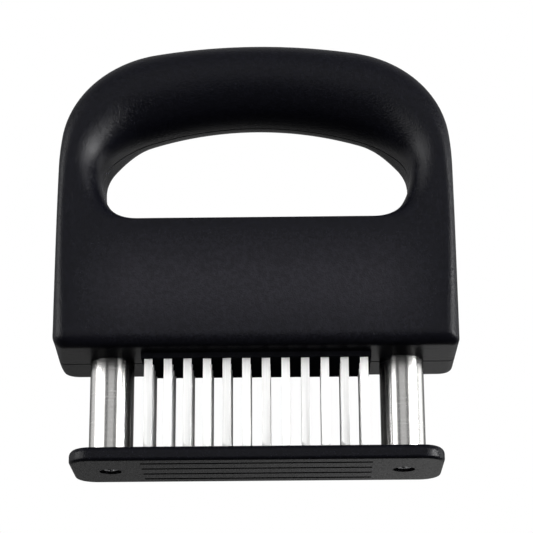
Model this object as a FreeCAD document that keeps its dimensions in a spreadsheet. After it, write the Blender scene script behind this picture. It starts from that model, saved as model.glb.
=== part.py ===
import FreeCAD, Part
import math
import os
import re

import Sketcher

# Blade meat tenderizer, in millimetres.
# Origin: centre of the guard plate's underside. +X right, +Y to the rear, +Z up.
# The handle body, with its 48 blades, slides down two spring-loaded columns
# that stand on a slotted guard plate.

Vector = FreeCAD.Vector
Rotation = FreeCAD.Rotation

# Driving dimensions: alias, value, what it is.
SIZES = (
    # guard plate
    ("guard_end_margin", 13.9, "column axis to the guard plate's end"),
    ("guard_side_margin", 5.16, "outer slot to the guard plate's long side"),
    ("guard_thickness", 5.3, "guard plate thickness"),
    ("guard_corner_radius", 8.0, "guard plate corners in plan"),
    ("guard_top_round", 2.4, "rounding of the guard's upper edge"),
    ("guard_foot_round", 1.2, "rounding of the guard's lower edge"),
    ("slot_side_clearance", 0.45, "guard slot beside each face of a blade"),
    ("slot_end_clearance", 0.95, "guard slot past the ends of a blade row"),
    ("column_socket_depth", 1.5, "recess in the guard that a column stands in"),
    ("counterbore_depth", 2.4, "recess of the guard screw's head"),
    ("counterbore_diameter", 8.0, "bore of that recess"),
    # columns
    ("well_wall", 3.12, "wall between a guide bore and the blade carrier"),
    ("column_diameter", 16.0, "column tube, outside"),
    ("column_wall", 1.0, "column tube wall"),
    ("column_running_clearance", 0.08, "radial, column in the handle's guide lip"),
    ("fit_clearance", 0.02, "radial, between pieces pressed or pushed together"),
    ("plug_height", 10.0, "foot plug in the column"),
    ("plug_thread_depth", 8.5, "tapped hole in the foot plug"),
    ("guard_screw_diameter", 4.0, "guard screw shank"),
    ("guard_screw_length", 8.6, "guard screw below its head"),
    ("guard_screw_head_diameter", 7.2, "guard screw head"),
    ("guard_screw_head_height", 1.9, "guard screw head"),
    ("guard_screw_passage", 0.2, "radial, screw in the guard's web"),
    ("stop_bush_height", 4.5, "stop bush along the column"),
    ("stop_bush_wall", 1.4, "stop bush wall"),
    ("stop_bush_clearance", 0.3, "radial, stop bush in its pocket"),
    ("ring_thickness", 1.0, "retaining ring"),
    ("ring_groove_depth", 0.35, "groove of that ring in the column"),
    ("ring_reach", 1.15, "how far the ring stands out of the column"),
    ("ring_opening", 5.0, "mouth of the ring"),
    ("column_end_margin", 1.5, "column above the retaining ring"),
    # springs
    ("spring_clearance", 0.7, "radial, return spring in the column"),
    ("spring_wire", 1.2, "return spring wire"),
    ("spring_turns", 12.0, "turns of the return spring"),
    ("rod_clearance", 0.4, "radial, spring rod in the spring"),
    ("rod_length", 34.0, "spring rod below its flange"),
    ("rod_flange_hold", 1.3, "how far the rod's flange reaches past its pocket"),
    ("rod_flange_thickness", 2.0, "flange the spring pushes on"),
    ("rod_tip_round", 1.5, "chamfer at the spring rod's tip"),
    # handle body
    ("blade_travel", 30.0, "stroke of the handle body"),
    ("stroke_end_gap", 3.1, "carrier above the guard when pressed down"),
    ("column_end_gap", 0.8, "column below the rod's flange when pressed down"),
    ("column_side_margin", 19.8, "column axis to the body's side"),
    ("front_wall", 7.86, "wall in front of the carrier, at the body's foot"),
    ("rear_wall", 4.86, "wall behind the carrier, at the body's foot"),
    ("grip_depth", 34.0, "handle body front to rear, at the crown"),
    ("grip_thickness", 30.3, "crown of the opening to the top of the grip"),
    ("lower_shoulder_radius", 119.5, "arc between straight side and shoulder"),
    ("lower_shoulder_sweep", 6.5, "degrees of that arc"),
    ("shoulder_sweep", 73.8, "degrees of the shoulder arc above it"),
    ("leg_width", 15.1, "body's side to the widest place of the opening"),
    ("opening_widest", 21.1, "height of that place above the opening's floor"),
    ("opening_rise", 22.3, "that place to the crown of the opening"),
    ("opening_corner_radius", 12.2, "lower corners of the finger opening"),
    ("opening_side_radius", 31.0, "arc from lower corner to widest place"),
    ("opening_upper_radius", 11.1, "arc above the widest place"),
    ("opening_upper_sweep", 49.2, "degrees of that arc"),
    ("opening_shoulder_sweep", 23.4, "degrees of the shoulder arc above it"),
    ("front_side_round", 5.0, "front edges of the body's straight sides, at the foot"),
    ("front_leg_edge", 3.4, "those edges beside the finger opening"),
    ("front_shoulder_edge", 4.9, "those edges where the shoulder starts"),
    ("rear_side_round", 7.0, "rear edges of the body's straight sides"),
    ("rear_shoulder_edge", 7.2, "those edges where the shoulder starts"),
    ("crown_round", 12.4, "upper edges of the grip"),
    ("foot_round", 4.5, "rounding under the body's front and rear"),
    ("foot_side_round", 2.5, "rounding under the body's sides"),
    ("floor_round", 1.0, "edges of the finger opening's floor"),
    ("front_corner_round", 7.0, "front edge of the opening, where its corner ends"),
    ("rear_corner_round", 5.0, "rear edge of the opening, where its corner ends"),
    ("front_leg_round", 10.5, "front edge of the opening at its widest place"),
    ("rear_leg_round", 7.8, "rear edge of the opening at its widest place"),
    ("front_shoulder_round", 13.5, "front edge of the opening, where its shoulder starts"),
    ("rear_shoulder_round", 10.3, "rear edge of the opening, where its shoulder starts"),
    ("grip_round", 17.2, "edges of the opening under the grip"),
    ("opening_flat", 3.4, "left between the front and rear roundings inside the opening"),
    ("round_gap", 0.25, "left between the two roundings of a leg or the grip"),
    ("guide_lip_height", 6.0, "guide bore above the underside"),
    ("roof_wall", 3.05, "wall between the spring rod's flange and the opening"),
    ("rib_thickness", 2.4, "ribs above the blade carrier"),
    ("end_wall", 5.0, "wall from a column pocket to the chambers"),
    ("chamber_depth", 28.0, "hollow chambers above the backing plate, front to rear"),
    ("grip_core_inset", 36.4, "body's side to the hollow core of the grip"),
    ("grip_core_floor", 6.0, "grip below its core"),
    ("grip_core_roof", 8.0, "grip above its core"),
    ("grip_core_depth", 18.0, "hollow core of the grip, front to rear"),
    ("dowel_diameter", 3.0, "locating dowels between the shells"),
    ("dowel_length", 14.0, "locating dowels"),
    ("dowel_edge", 5.0, "dowel axis inside the body's side"),
    ("low_dowel_height", 12.0, "lower dowels above the underside"),
    ("high_dowel_height", 38.0, "upper dowels above the underside"),
    ("grip_dowel_inset", 26.4, "body's side to a dowel of the grip"),
    ("grip_dowel_drop", 21.0, "dowels of the grip below its top"),
    # blades and their carrier
    ("blade_rows", 4.0, "rows of blades"),
    ("row_spacing", 8.06, "between rows"),
    ("blades_per_row", 12.0, "blades in a row"),
    ("blade_pitch", 7.03, "between blades of a row"),
    ("blade_width", 2.97, "blade, left to right"),
    ("blade_thickness", 1.0, "blade, front to rear"),
    ("blade_tip_recess", 1.4, "tips above the guard's underside at rest"),
    ("blade_slant", 3.36, "height of the slanted end of a blade"),
    ("grind_length", 2.2, "ground facet on the front of that end"),
    ("edge_flat", 0.1, "blade left at the cutting edge"),
    ("blade_head_width", 4.6, "head above the carrier"),
    ("blade_head_height", 2.5, "that head"),
    ("blade_clearance", 0.05, "blade in its slot of the carrier"),
    ("carrier_proud", 1.8, "carrier below the body's underside"),
    ("carrier_height", 11.6, "carrier, bottom to top"),
    ("carrier_end_margin", 1.1, "carrier past the last blades"),
    ("carrier_side_margin", 1.4, "carrier past the outer rows"),
    ("carrier_flange", 3.0, "flange of the carrier, each side"),
    ("carrier_flange_thickness", 4.0, "that flange"),
    ("carrier_clearance", 0.15, "carrier and backing plate in their wells"),
    ("plate_thickness", 2.0, "backing plate"),
    ("plate_side_margin", 1.6, "backing plate past the outer rows"),
    ("plate_corner_radius", 3.0, "backing plate corners"),
    ("plate_screw_diameter", 3.0, "plate screw shank"),
    ("plate_screw_length", 9.0, "plate screw below its head"),
    ("plate_screw_head_diameter", 5.6, "plate screw head"),
    ("plate_screw_head_height", 1.8, "plate screw head"),
    ("plate_screw_passage", 0.15, "radial, screw in the backing plate"),
    ("boss_clearance", 0.33, "screw boss on the carrier to the blade heads"),
)

# Places and widths worked out from the driving dimensions.
LEVELS = (
    ("blade_reach", "blade_pitch * (blades_per_row - 1) / 2"),
    ("row_reach", "row_spacing * (blade_rows - 1) / 2"),
    ("half_blade", "blade_width / 2"),
    ("half_blade_thickness", "blade_thickness / 2"),
    ("half_head", "blade_head_width / 2"),
    ("half_carrier_length", "blade_reach + half_blade + carrier_end_margin"),
    ("half_carrier_depth", "row_reach + half_blade_thickness + carrier_side_margin"),
    ("half_flange_depth", "half_carrier_depth + carrier_flange"),
    ("half_well_length", "half_carrier_length + carrier_clearance"),
    ("column_radius", "column_diameter / 2"),
    ("lip_bore_radius", "column_radius + column_running_clearance"),
    ("half_spacing", "half_well_length + well_wall + lip_bore_radius"),
    ("half_body", "half_spacing + column_side_margin"),
    ("front_depth", "half_flange_depth + carrier_clearance + front_wall"),
    ("rear_depth", "half_flange_depth + carrier_clearance + rear_wall"),
    ("half_slot_length", "blade_reach + half_blade + slot_end_clearance"),
    ("half_slot_width", "half_blade_thickness + slot_side_clearance"),
    ("slot_outer_edge", "row_reach + half_slot_width"),
    ("slot_inner_edge", "row_reach - half_slot_width"),
    ("half_guard", "half_spacing + guard_end_margin"),
    ("half_guard_depth", "slot_outer_edge + guard_side_margin"),
    ("column_bore_radius", "column_radius - column_wall"),
    ("column_foot", "guard_thickness - column_socket_depth"),
    ("socket_radius", "column_radius + fit_clearance"),
    ("plug_radius", "column_bore_radius - fit_clearance"),
    ("plug_top", "column_foot + plug_height"),
    ("guard_screw_radius", "guard_screw_diameter / 2"),
    ("tapped_radius", "guard_screw_radius + fit_clearance"),
    ("guard_screw_head_radius", "guard_screw_head_diameter / 2"),
    ("guard_screw_head_bottom", "counterbore_depth - guard_screw_head_height"),
    ("counterbore_radius", "counterbore_diameter / 2"),
    ("web_hole_radius", "guard_screw_radius + guard_screw_passage"),
    ("carrier_foot", "guard_thickness + stroke_end_gap + blade_travel"),
    ("body_foot", "carrier_foot + carrier_proud"),
    ("lip_top", "body_foot + guide_lip_height"),
    ("bush_radius", "column_radius + stop_bush_wall"),
    ("pocket_radius", "bush_radius + stop_bush_clearance"),
    ("ring_foot", "lip_top + stop_bush_height"),
    ("ring_top", "ring_foot + ring_thickness"),
    ("ring_inner_radius", "column_radius - ring_groove_depth"),
    ("ring_outer_radius", "column_radius + ring_reach"),
    ("column_top", "ring_top + column_end_margin"),
    ("column_length", "column_top - column_foot"),
    ("flange_foot", "column_top + blade_travel + column_end_gap"),
    ("flange_top", "flange_foot + rod_flange_thickness"),
    ("flange_radius", "pocket_radius + rod_flange_hold"),
    ("flange_seat_radius", "flange_radius + fit_clearance"),
    ("coil_radius", "column_bore_radius - spring_clearance - spring_wire / 2"),
    ("wire_radius", "spring_wire / 2"),
    ("rod_radius", "coil_radius - wire_radius - rod_clearance"),
    ("rod_foot", "flange_foot - rod_length"),
    ("coil_foot", "plug_top + wire_radius"),
    ("coil_length", "flange_foot - wire_radius - coil_foot"),
    ("coil_pitch", "coil_length / spring_turns"),
    ("opening_floor", "flange_top + roof_wall"),
    ("widest_height", "opening_floor + opening_widest"),
    ("half_opening", "half_body - leg_width"),
    ("opening_crown", "widest_height + opening_rise"),
    ("crown", "opening_crown + grip_thickness"),
    ("half_grip_depth", "grip_depth / 2"),
    ("wedge_top", "crown + grip_thickness"),
    ("wedge_lean", "(wedge_top - body_foot) / (crown - body_foot)"),
    ("wedge_front", "-front_depth + (front_depth - half_grip_depth) * wedge_lean"),
    ("wedge_rear", "rear_depth - (rear_depth - half_grip_depth) * wedge_lean"),
    ("carrier_top", "carrier_foot + carrier_height"),
    ("flange_ledge", "carrier_top - carrier_flange_thickness"),
    ("blade_slot_left", "-blade_reach - half_blade - blade_clearance"),
    ("blade_slot_right", "-blade_reach + half_blade + blade_clearance"),
    ("blade_slot_front", "-row_reach - half_blade_thickness - blade_clearance"),
    ("blade_slot_rear", "-row_reach + half_blade_thickness + blade_clearance"),
    ("blade_odd_left", "-blade_reach - half_blade"),
    ("blade_odd_right", "-blade_reach + half_blade"),
    ("head_odd_left", "-blade_reach - half_head"),
    ("head_odd_right", "-blade_reach + half_head"),
    ("blade_even_left", "blade_odd_left + blade_pitch"),
    ("blade_even_right", "blade_odd_right + blade_pitch"),
    ("head_even_left", "head_odd_left + blade_pitch"),
    ("head_even_right", "head_odd_right + blade_pitch"),
    ("slant_top", "blade_tip_recess + blade_slant"),
    ("plate_foot", "carrier_top + blade_head_height"),
    ("plate_top", "plate_foot + plate_thickness"),
    ("half_plate_length", "blade_reach + half_head + carrier_clearance"),
    ("half_plate_depth", "row_reach + half_blade_thickness + plate_side_margin"),
    ("half_chambers", "half_spacing - pocket_radius - end_wall"),
    ("chamber_width", "(2 * half_chambers - 4 * rib_thickness) / 5"),
    ("chamber_pitch", "chamber_width + rib_thickness"),
    ("chamber_height", "flange_top - plate_top"),
    ("screw_reach", "2 * chamber_pitch"),
    ("boss_radius", "row_spacing / 2 - half_blade_thickness - boss_clearance"),
    ("plate_screw_radius", "plate_screw_diameter / 2"),
    ("plate_screw_tip", "plate_top - plate_screw_length"),
    ("plate_hole_radius", "plate_screw_radius + plate_screw_passage"),
    ("boss_hole_radius", "plate_screw_radius + fit_clearance"),
    ("plate_screw_head_radius", "plate_screw_head_diameter / 2"),
    ("dowel_radius", "dowel_diameter / 2"),
    ("dowel_hole_radius", "dowel_radius + fit_clearance"),
    ("side_dowel", "half_body - dowel_edge"),
    ("low_dowel", "body_foot + low_dowel_height"),
    ("high_dowel", "body_foot + high_dowel_height"),
    ("grip_dowel", "half_body - grip_dowel_inset"),
    ("grip_dowel_level", "crown - grip_dowel_drop"),
    ("half_grip_core", "half_body - grip_core_inset"),
    ("grip_core_foot", "opening_crown + grip_core_floor"),
    ("grip_core_height", "grip_thickness - grip_core_floor - grip_core_roof"),
)

SIDES = (("left", -1), ("right", 1))

doc = FreeCAD.newDocument("BladeTenderizer")
sheet = doc.addObject("Spreadsheet::Sheet", "Sizes")
levels = doc.addObject("App::VarSet", "Levels")
SIZE_NAMES = {alias for alias, _, _ in SIZES}
parts = {}


def with_owners(formula):
    """Write each size or level in a formula with the object that holds it."""
    def owned(match):
        word = match.group(0)
        return ("Sizes." if word in SIZE_NAMES else "Levels.") + word
    return re.sub(r"[a-z_]+", owned, formula)


def fill_sheet():
    """Put the driving dimensions in the sheet and work out the levels."""
    for row, (alias, value, note) in enumerate(SIZES, start=1):
        sheet.set(f"A{row}", note)
        sheet.set(f"B{row}", str(value))
        sheet.setAlias(f"B{row}", alias)
    doc.recompute()
    for name, formula in LEVELS:
        levels.addProperty("App::PropertyFloat", name)
        levels.setExpression(name, with_owners(formula))
    doc.recompute()


def number(name):
    """The value of a size or level; a leading minus turns its sign."""
    holder = sheet if name.lstrip("-") in SIZE_NAMES else levels
    value = float(getattr(holder, name.lstrip("-")))
    return -value if name.startswith("-") else value


def bind(item, **formulas):
    """Bind properties to formulas, with __ in a property's name for a dot."""
    for prop, formula in formulas.items():
        item.setExpression(prop.replace("__", "."), with_owners(formula))


def place(item, x=None, y=None, z=None):
    """Bind an object's place; an axis left out stays at zero."""
    for axis, formula in (("x", x), ("y", y), ("z", z)):
        if formula is not None:
            item.setExpression(f"Placement.Base.{axis}", with_owners(formula))
    return item


def cylinder(name, radius, height, x=None, y=None, z=None):
    """An upright cylinder."""
    item = doc.addObject("Part::Cylinder", name)
    bind(item, Radius=radius, Height=height)
    return place(item, x, y, z)


def crosswise_cylinder(name, radius, height, x, z):
    """A cylinder along Y, centred on the plane where the shells meet."""
    item = doc.addObject("Part::Cylinder", name)
    item.Placement.Rotation = Rotation(Vector(1, 0, 0), -90)
    bind(item, Radius=radius, Height=height)
    return place(item, x, f"-({height}) / 2", z)


def box(name, half_x, half_y, height, z, x=None):
    """A box centred in plan, from half widths."""
    item = doc.addObject("Part::Box", name)
    bind(item, Length=f"2 * ({half_x})", Width=f"2 * ({half_y})", Height=height)
    return place(item, f"-({half_x})" if x is None else f"{x} - ({half_x})", f"-({half_y})", z)


def fused(name, shapes):
    """Several shapes as one."""
    item = doc.addObject("Part::MultiFuse", name)
    item.Shapes = shapes
    return item


def cut(name, base, tool):
    """One shape less another."""
    item = doc.addObject("Part::Cut", name)
    item.Base = base
    item.Tool = tool
    return item


def cone(name, radius_low, radius_high, height, x, z):
    """An upright cone frustum."""
    item = doc.addObject("Part::Cone", name)
    bind(item, Radius1=radius_low, Radius2=radius_high, Height=height)
    return place(item, x, None, z)


def keep(node, item):
    """Name an object as a finished sub-part."""
    item.Label = node
    parts[node] = item
    return item


def body_sketch(body, name, plane, offset=None):
    """A sketch on one of the body's own origin planes."""
    sketch = body.newObject("Sketcher::SketchObject", name)
    origin_plane = next(f for f in body.Origin.OriginFeatures if f.Role == plane)
    sketch.AttachmentSupport = [(origin_plane, "")]
    sketch.MapMode = "FlatFace"
    if offset is not None:
        sketch.setExpression("AttachmentOffset.Base.z", with_owners(offset))
    doc.recompute()
    return sketch


def dimension(sketch, kind, refs, name):
    """A dimension bound to a size or level."""
    index = sketch.addConstraint(Sketcher.Constraint(kind, *refs, number(name)))
    sign = "-" if name.startswith("-") else ""
    sketch.setExpression(f"Constraints[{index}]", sign + with_owners(name.lstrip("-")))


def sweep_angle(sketch, arc, name):
    """The degrees that an arc turns through, bound to a size."""
    index = sketch.addConstraint(Sketcher.Constraint("Angle", arc, math.radians(number(name))))
    sketch.setExpression(f"Constraints[{index}]", with_owners(name) + " * 1 deg")


def polygon(sketch, corners):
    """A closed outline whose corners are bound pairs of sizes or levels."""
    points = [Vector(number(x), number(y), 0) for x, y in corners]
    first = sketch.GeometryCount
    for start, end in zip(points, points[1:] + points[:1]):
        sketch.addGeometry(Part.LineSegment(start, end))
    for i, (x, y) in enumerate(corners):
        after = first + (i + 1) % len(corners)
        sketch.addConstraint(Sketcher.Constraint("Coincident", first + i, 2, after, 1))
        dimension(sketch, "DistanceX", (first + i, 1), x)
        dimension(sketch, "DistanceY", (first + i, 1), y)


def circle(sketch, radius, x=None):
    """A circle on the sketch's X axis."""
    centre = Vector(0 if x is None else number(x), 0, 0)
    index = sketch.addGeometry(Part.Circle(centre, Vector(0, 0, 1), number(radius)))
    dimension(sketch, "Radius", (index,), radius)
    if x is None:
        sketch.addConstraint(Sketcher.Constraint("Coincident", index, 3, -1, 1))
    else:
        sketch.addConstraint(Sketcher.Constraint("PointOnObject", index, 3, -1))
        dimension(sketch, "DistanceX", (index, 3), x)


def add_arc(sketch, centre, radius, start, end):
    """An arc of a circle, from one angle to another."""
    whole = Part.Circle(Vector(centre[0], centre[1], 0), Vector(0, 0, 1), radius)
    return sketch.addGeometry(Part.ArcOfCircle(whole, start, end))


def add_line(sketch, start, end):
    """A straight line."""
    return sketch.addGeometry(Part.LineSegment(Vector(*start, 0), Vector(*end, 0)))


def join_tangent(sketch, chain):
    """Join a chain of lines and arcs end to start, without kinks."""
    for before, after in zip(chain, chain[1:]):
        sketch.addConstraint(Sketcher.Constraint("Tangent", before, 2, after, 1))


def along(centre, radius, angle):
    """The point of a circle at an angle."""
    return (centre[0] + radius * math.cos(angle), centre[1] + radius * math.sin(angle))


def shoulder_and_crown(start, low_radius, low_turn, turn, top):
    """Centres and radii of a shoulder and a crown arc of given sweeps.

    They carry on from an arc of low_radius that has turned by low_turn from
    upright, and meet the middle line level at the given top.
    """
    high = low_turn + turn
    run = start[0] - low_radius * (1 - math.cos(low_turn))
    rise = top - start[1] - low_radius * math.sin(low_turn)
    shoulder_run, crown_run = math.cos(low_turn) - math.cos(high), math.cos(high)
    shoulder_rise, crown_rise = math.sin(high) - math.sin(low_turn), 1 - math.sin(high)
    whole = shoulder_run * crown_rise - shoulder_rise * crown_run
    radius = (run * crown_rise - rise * crown_run) / whole
    crown_radius = (shoulder_run * rise - shoulder_rise * run) / whole
    centre = (0.0, top - crown_radius)
    return along(centre, crown_radius - radius, high), radius, centre, crown_radius, high


def mark_top(sketch, arc, level):
    """Hold the top of a crown arc at its level, on the middle line."""
    point = sketch.addGeometry(Part.Point(Vector(0, number(level), 0)), True)
    sketch.addConstraint(Sketcher.Constraint("PointOnObject", point, 1, arc))
    sketch.addConstraint(Sketcher.Constraint("PointOnObject", point, 1, -2))
    dimension(sketch, "DistanceY", (point, 1), level)
    sketch.addConstraint(Sketcher.Constraint("PointOnObject", arc, 3, -2))


def upright_sketch(name):
    """A sketch in the XZ plane."""
    sketch = doc.addObject("Sketcher::SketchObject", name)
    sketch.Placement.Rotation = Rotation(Vector(1, 0, 0), 90)
    return sketch


def draw_body_outline():
    """The front view of the handle body: straight sides, shoulders, crown."""
    sketch = upright_sketch("body_outline")
    half, foot, side_top = number("half_body"), number("body_foot"), number("widest_height")
    low_radius = number("lower_shoulder_radius")
    turn = math.radians(number("lower_shoulder_sweep"))
    sweep = math.radians(number("shoulder_sweep"))
    low_centre = (half - low_radius, side_top)
    shoulder, radius, centre, crown_radius, start = shoulder_and_crown(
        (half, side_top), low_radius, turn, sweep, number("crown"))
    flip = math.pi
    base = add_line(sketch, (-half, foot), (half, foot))
    right = add_line(sketch, (half, foot), (half, side_top))
    chain = [
        right,
        add_arc(sketch, low_centre, low_radius, 0, turn),
        add_arc(sketch, shoulder, radius, turn, start),
        add_arc(sketch, centre, crown_radius, start, flip - start),
        add_arc(sketch, (-shoulder[0], shoulder[1]), radius, flip - start, flip - turn),
        add_arc(sketch, (-low_centre[0], side_top), low_radius, flip - turn, flip),
        add_line(sketch, (-half, side_top), (-half, foot)),
    ]
    left = chain[-1]
    join_tangent(sketch, chain)
    sketch.addConstraint(Sketcher.Constraint("Coincident", left, 2, base, 1))
    sketch.addConstraint(Sketcher.Constraint("Coincident", base, 2, right, 1))
    sketch.addConstraint(Sketcher.Constraint("Vertical", right))
    sketch.addConstraint(Sketcher.Constraint("Vertical", left))
    sketch.addConstraint(Sketcher.Constraint("Symmetric", base, 1, base, 2, -2))
    sketch.addConstraint(Sketcher.Constraint("Equal", right, left))
    sketch.addConstraint(Sketcher.Constraint("Equal", chain[1], chain[5]))
    sketch.addConstraint(Sketcher.Constraint("Equal", chain[2], chain[4]))
    mark_top(sketch, chain[3], "crown")
    dimension(sketch, "DistanceX", (base, 2), "half_body")
    dimension(sketch, "DistanceY", (base, 2), "body_foot")
    dimension(sketch, "DistanceY", (right, 2), "widest_height")
    dimension(sketch, "Radius", (chain[1],), "lower_shoulder_radius")
    sweep_angle(sketch, chain[1], "lower_shoulder_sweep")
    sweep_angle(sketch, chain[2], "shoulder_sweep")
    return sketch


def draw_opening_outline():
    """The finger opening: flat floor, wide rounded ends, arched crown."""
    sketch = upright_sketch("opening_outline")
    floor, half = number("opening_floor"), number("half_opening")
    widest, corner_radius = number("widest_height"), number("opening_corner_radius")
    side_radius, upper_radius = number("opening_side_radius"), number("opening_upper_radius")
    side_centre = (half - side_radius, widest)
    # the corner arc touches the floor and runs tangent into the side arc
    dip = math.asin((widest - floor - corner_radius) / (side_radius - corner_radius))
    corner = along(side_centre, side_radius - corner_radius, -dip)
    upper_centre = (half - upper_radius, widest)
    turn = math.radians(number("opening_upper_sweep"))
    sweep = math.radians(number("opening_shoulder_sweep"))
    shoulder, radius, centre, crown_radius, start = shoulder_and_crown(
        (half, widest), upper_radius, turn, sweep, number("opening_crown"))
    flip = math.pi
    base = add_line(sketch, (-corner[0], floor), (corner[0], floor))
    right = [
        add_arc(sketch, corner, corner_radius, -flip / 2, -dip),
        add_arc(sketch, side_centre, side_radius, -dip, 0),
        add_arc(sketch, upper_centre, upper_radius, 0, turn),
        add_arc(sketch, shoulder, radius, turn, start),
    ]
    top = add_arc(sketch, centre, crown_radius, start, flip - start)
    left = [
        add_arc(sketch, (-shoulder[0], shoulder[1]), radius, flip - start, flip - turn),
        add_arc(sketch, (-upper_centre[0], widest), upper_radius, flip - turn, flip),
        add_arc(sketch, (-side_centre[0], widest), side_radius, flip, flip + dip),
        add_arc(sketch, (-corner[0], corner[1]), corner_radius, flip + dip, 1.5 * flip),
    ]
    join_tangent(sketch, [base] + right + [top] + left + [base])
    for here, there in zip(right, reversed(left)):
        sketch.addConstraint(Sketcher.Constraint("Equal", here, there))
    sketch.addConstraint(Sketcher.Constraint("Horizontal", base))
    sketch.addConstraint(Sketcher.Constraint("Horizontal", right[1], 3, right[1], 2))
    sketch.addConstraint(Sketcher.Constraint("Horizontal", left[2], 3, left[2], 1))
    sketch.addConstraint(Sketcher.Constraint("Symmetric", right[1], 2, left[2], 1, -2))
    mark_top(sketch, top, "opening_crown")
    dimension(sketch, "DistanceY", (base, 1), "opening_floor")
    dimension(sketch, "DistanceX", (right[1], 2), "half_opening")
    dimension(sketch, "DistanceY", (right[1], 2), "widest_height")
    dimension(sketch, "Radius", (right[0],), "opening_corner_radius")
    dimension(sketch, "Radius", (right[1],), "opening_side_radius")
    dimension(sketch, "Radius", (right[2],), "opening_upper_radius")
    sweep_angle(sketch, right[2], "opening_upper_sweep")
    sweep_angle(sketch, right[3], "opening_shoulder_sweep")
    return sketch


def extruded(name, sketch, length):
    """A sketch extruded to both sides of its plane."""
    item = doc.addObject("Part::Extrusion", name)
    item.Base = sketch
    item.DirMode = "Normal"
    item.Solid = True
    item.Symmetric = True
    item.setExpression("LengthFwd", with_owners(length))
    return item


def ends_of(edge):
    """Both ends of an edge, in the order that a fillet's two radii take."""
    return edge.Vertexes[0].Point, edge.Vertexes[-1].Point


def rounded(name, base, choose):
    """Fillet the edges that choose gives two end radii for."""
    items = []
    for index, edge in enumerate(base.Shape.Edges, start=1):
        radii = choose(edge)
        if radii is not None:
            items.append((index, *radii))
    item = doc.addObject("Part::Fillet", name)
    item.Base = base
    item.Edges = items
    doc.recompute()
    return item


def graded(height, heights, names):
    """A radius that runs evenly from one named radius to the next."""
    radii = [number(name) for name in names]
    for low, high, first, last in zip(heights, heights[1:], radii, radii[1:]):
        if height < high:
            return first + max(0.0, (height - low) / (high - low)) * (last - first)
    return radii[-1]


def corner_levels(sketch):
    """The heights of a sketch's corners, from low to high."""
    return sorted({round(corner.Z, 3) for corner in sketch.Shape.Vertexes})


def build_body_form():
    """The handle body's outer form, before it is split into two shells."""
    outline = draw_body_outline()
    opening_outline = draw_opening_outline()
    slab = extruded("body_slab", outline, "2 * (front_depth + rear_depth)")
    side_view = doc.addObject("Sketcher::SketchObject", "body_side_view")
    side_view.Placement.Rotation = Rotation(Vector(1, 1, 1), 120)
    polygon(side_view, (
        ("-front_depth", "body_foot"),
        ("rear_depth", "body_foot"),
        ("wedge_rear", "wedge_top"),
        ("wedge_front", "wedge_top"),
    ))
    wedge = extruded("body_wedge", side_view, "4 * half_body")
    form = doc.addObject("Part::MultiCommon", "body_blank")
    form.Shapes = [slab, wedge]
    opening = extruded("opening_tool", opening_outline, "2 * (front_depth + rear_depth)")
    pierced = cut("body_pierced", form, opening)
    doc.recompute()
    foot, floor = number("body_foot"), number("opening_floor")
    opening_crown, half_opening = number("opening_crown"), number("half_opening")
    levels_outside, levels_inside = corner_levels(outline), corner_levels(opening_outline)

    def depth_at(height):
        full = number("front_depth") + number("rear_depth")
        share = (height - foot) / (number("crown") - foot)
        return full - share * (full - number("grip_depth"))

    def outside(point):
        if point.y < 0:
            names = ("front_side_round", "front_leg_edge", "front_shoulder_edge", "crown_round")
        else:
            names = ("rear_side_round", "rear_side_round", "rear_shoulder_edge", "crown_round")
        return graded(point.z, levels_outside, names)

    def inside(point):
        side = "front" if point.y < 0 else "rear"
        names = ("floor_round", f"{side}_corner_round", f"{side}_leg_round",
                 f"{side}_shoulder_round", "grip_round")
        widest = (depth_at(point.z) - number("opening_flat")) / 2
        return min(graded(point.z, levels_inside, names), widest)

    def within_wall(point, own, opposite, other):
        wall, pairs = Part.Vertex(Vector(point.x, 0, point.z)).distToShape(opposite.Shape)[:2]
        near = pairs[0][1]
        return min(own(point), wall - number("round_gap") - other(Vector(near.x, point.y, near.z)))

    def at_opening(edge):
        return (edge.BoundBox.ZMin > floor - 0.1 and edge.BoundBox.ZMax < opening_crown + 0.1
                and edge.BoundBox.XMax < half_opening + 0.1
                and edge.BoundBox.XMin > -half_opening - 0.1)

    def runs_across(edge):
        start, end = ends_of(edge)
        return edge.BoundBox.YLength > 0.8 * number("grip_depth") and abs(start.z - end.z) < 0.01

    def outer_radii(edge):
        if runs_across(edge) or at_opening(edge) or edge.BoundBox.ZMax < foot + 0.1:
            return None
        return [within_wall(end, outside, opening_outline, inside) for end in ends_of(edge)]

    def foot_radii(edge):
        if edge.BoundBox.ZMax > foot + 0.1:
            return None
        at_side = number("half_body") - 0.01
        return [number("foot_side_round" if abs(end.x) > at_side else "foot_round")
                for end in ends_of(edge)]

    def inner_radii(edge):
        if runs_across(edge) or not at_opening(edge):
            return None
        return [within_wall(end, inside, outline, outside) for end in ends_of(edge)]

    softened = rounded("body_outer_rounds", pierced, outer_radii)
    footed = rounded("body_foot_rounds", softened, foot_radii)
    return rounded("body_form", footed, inner_radii)


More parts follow.
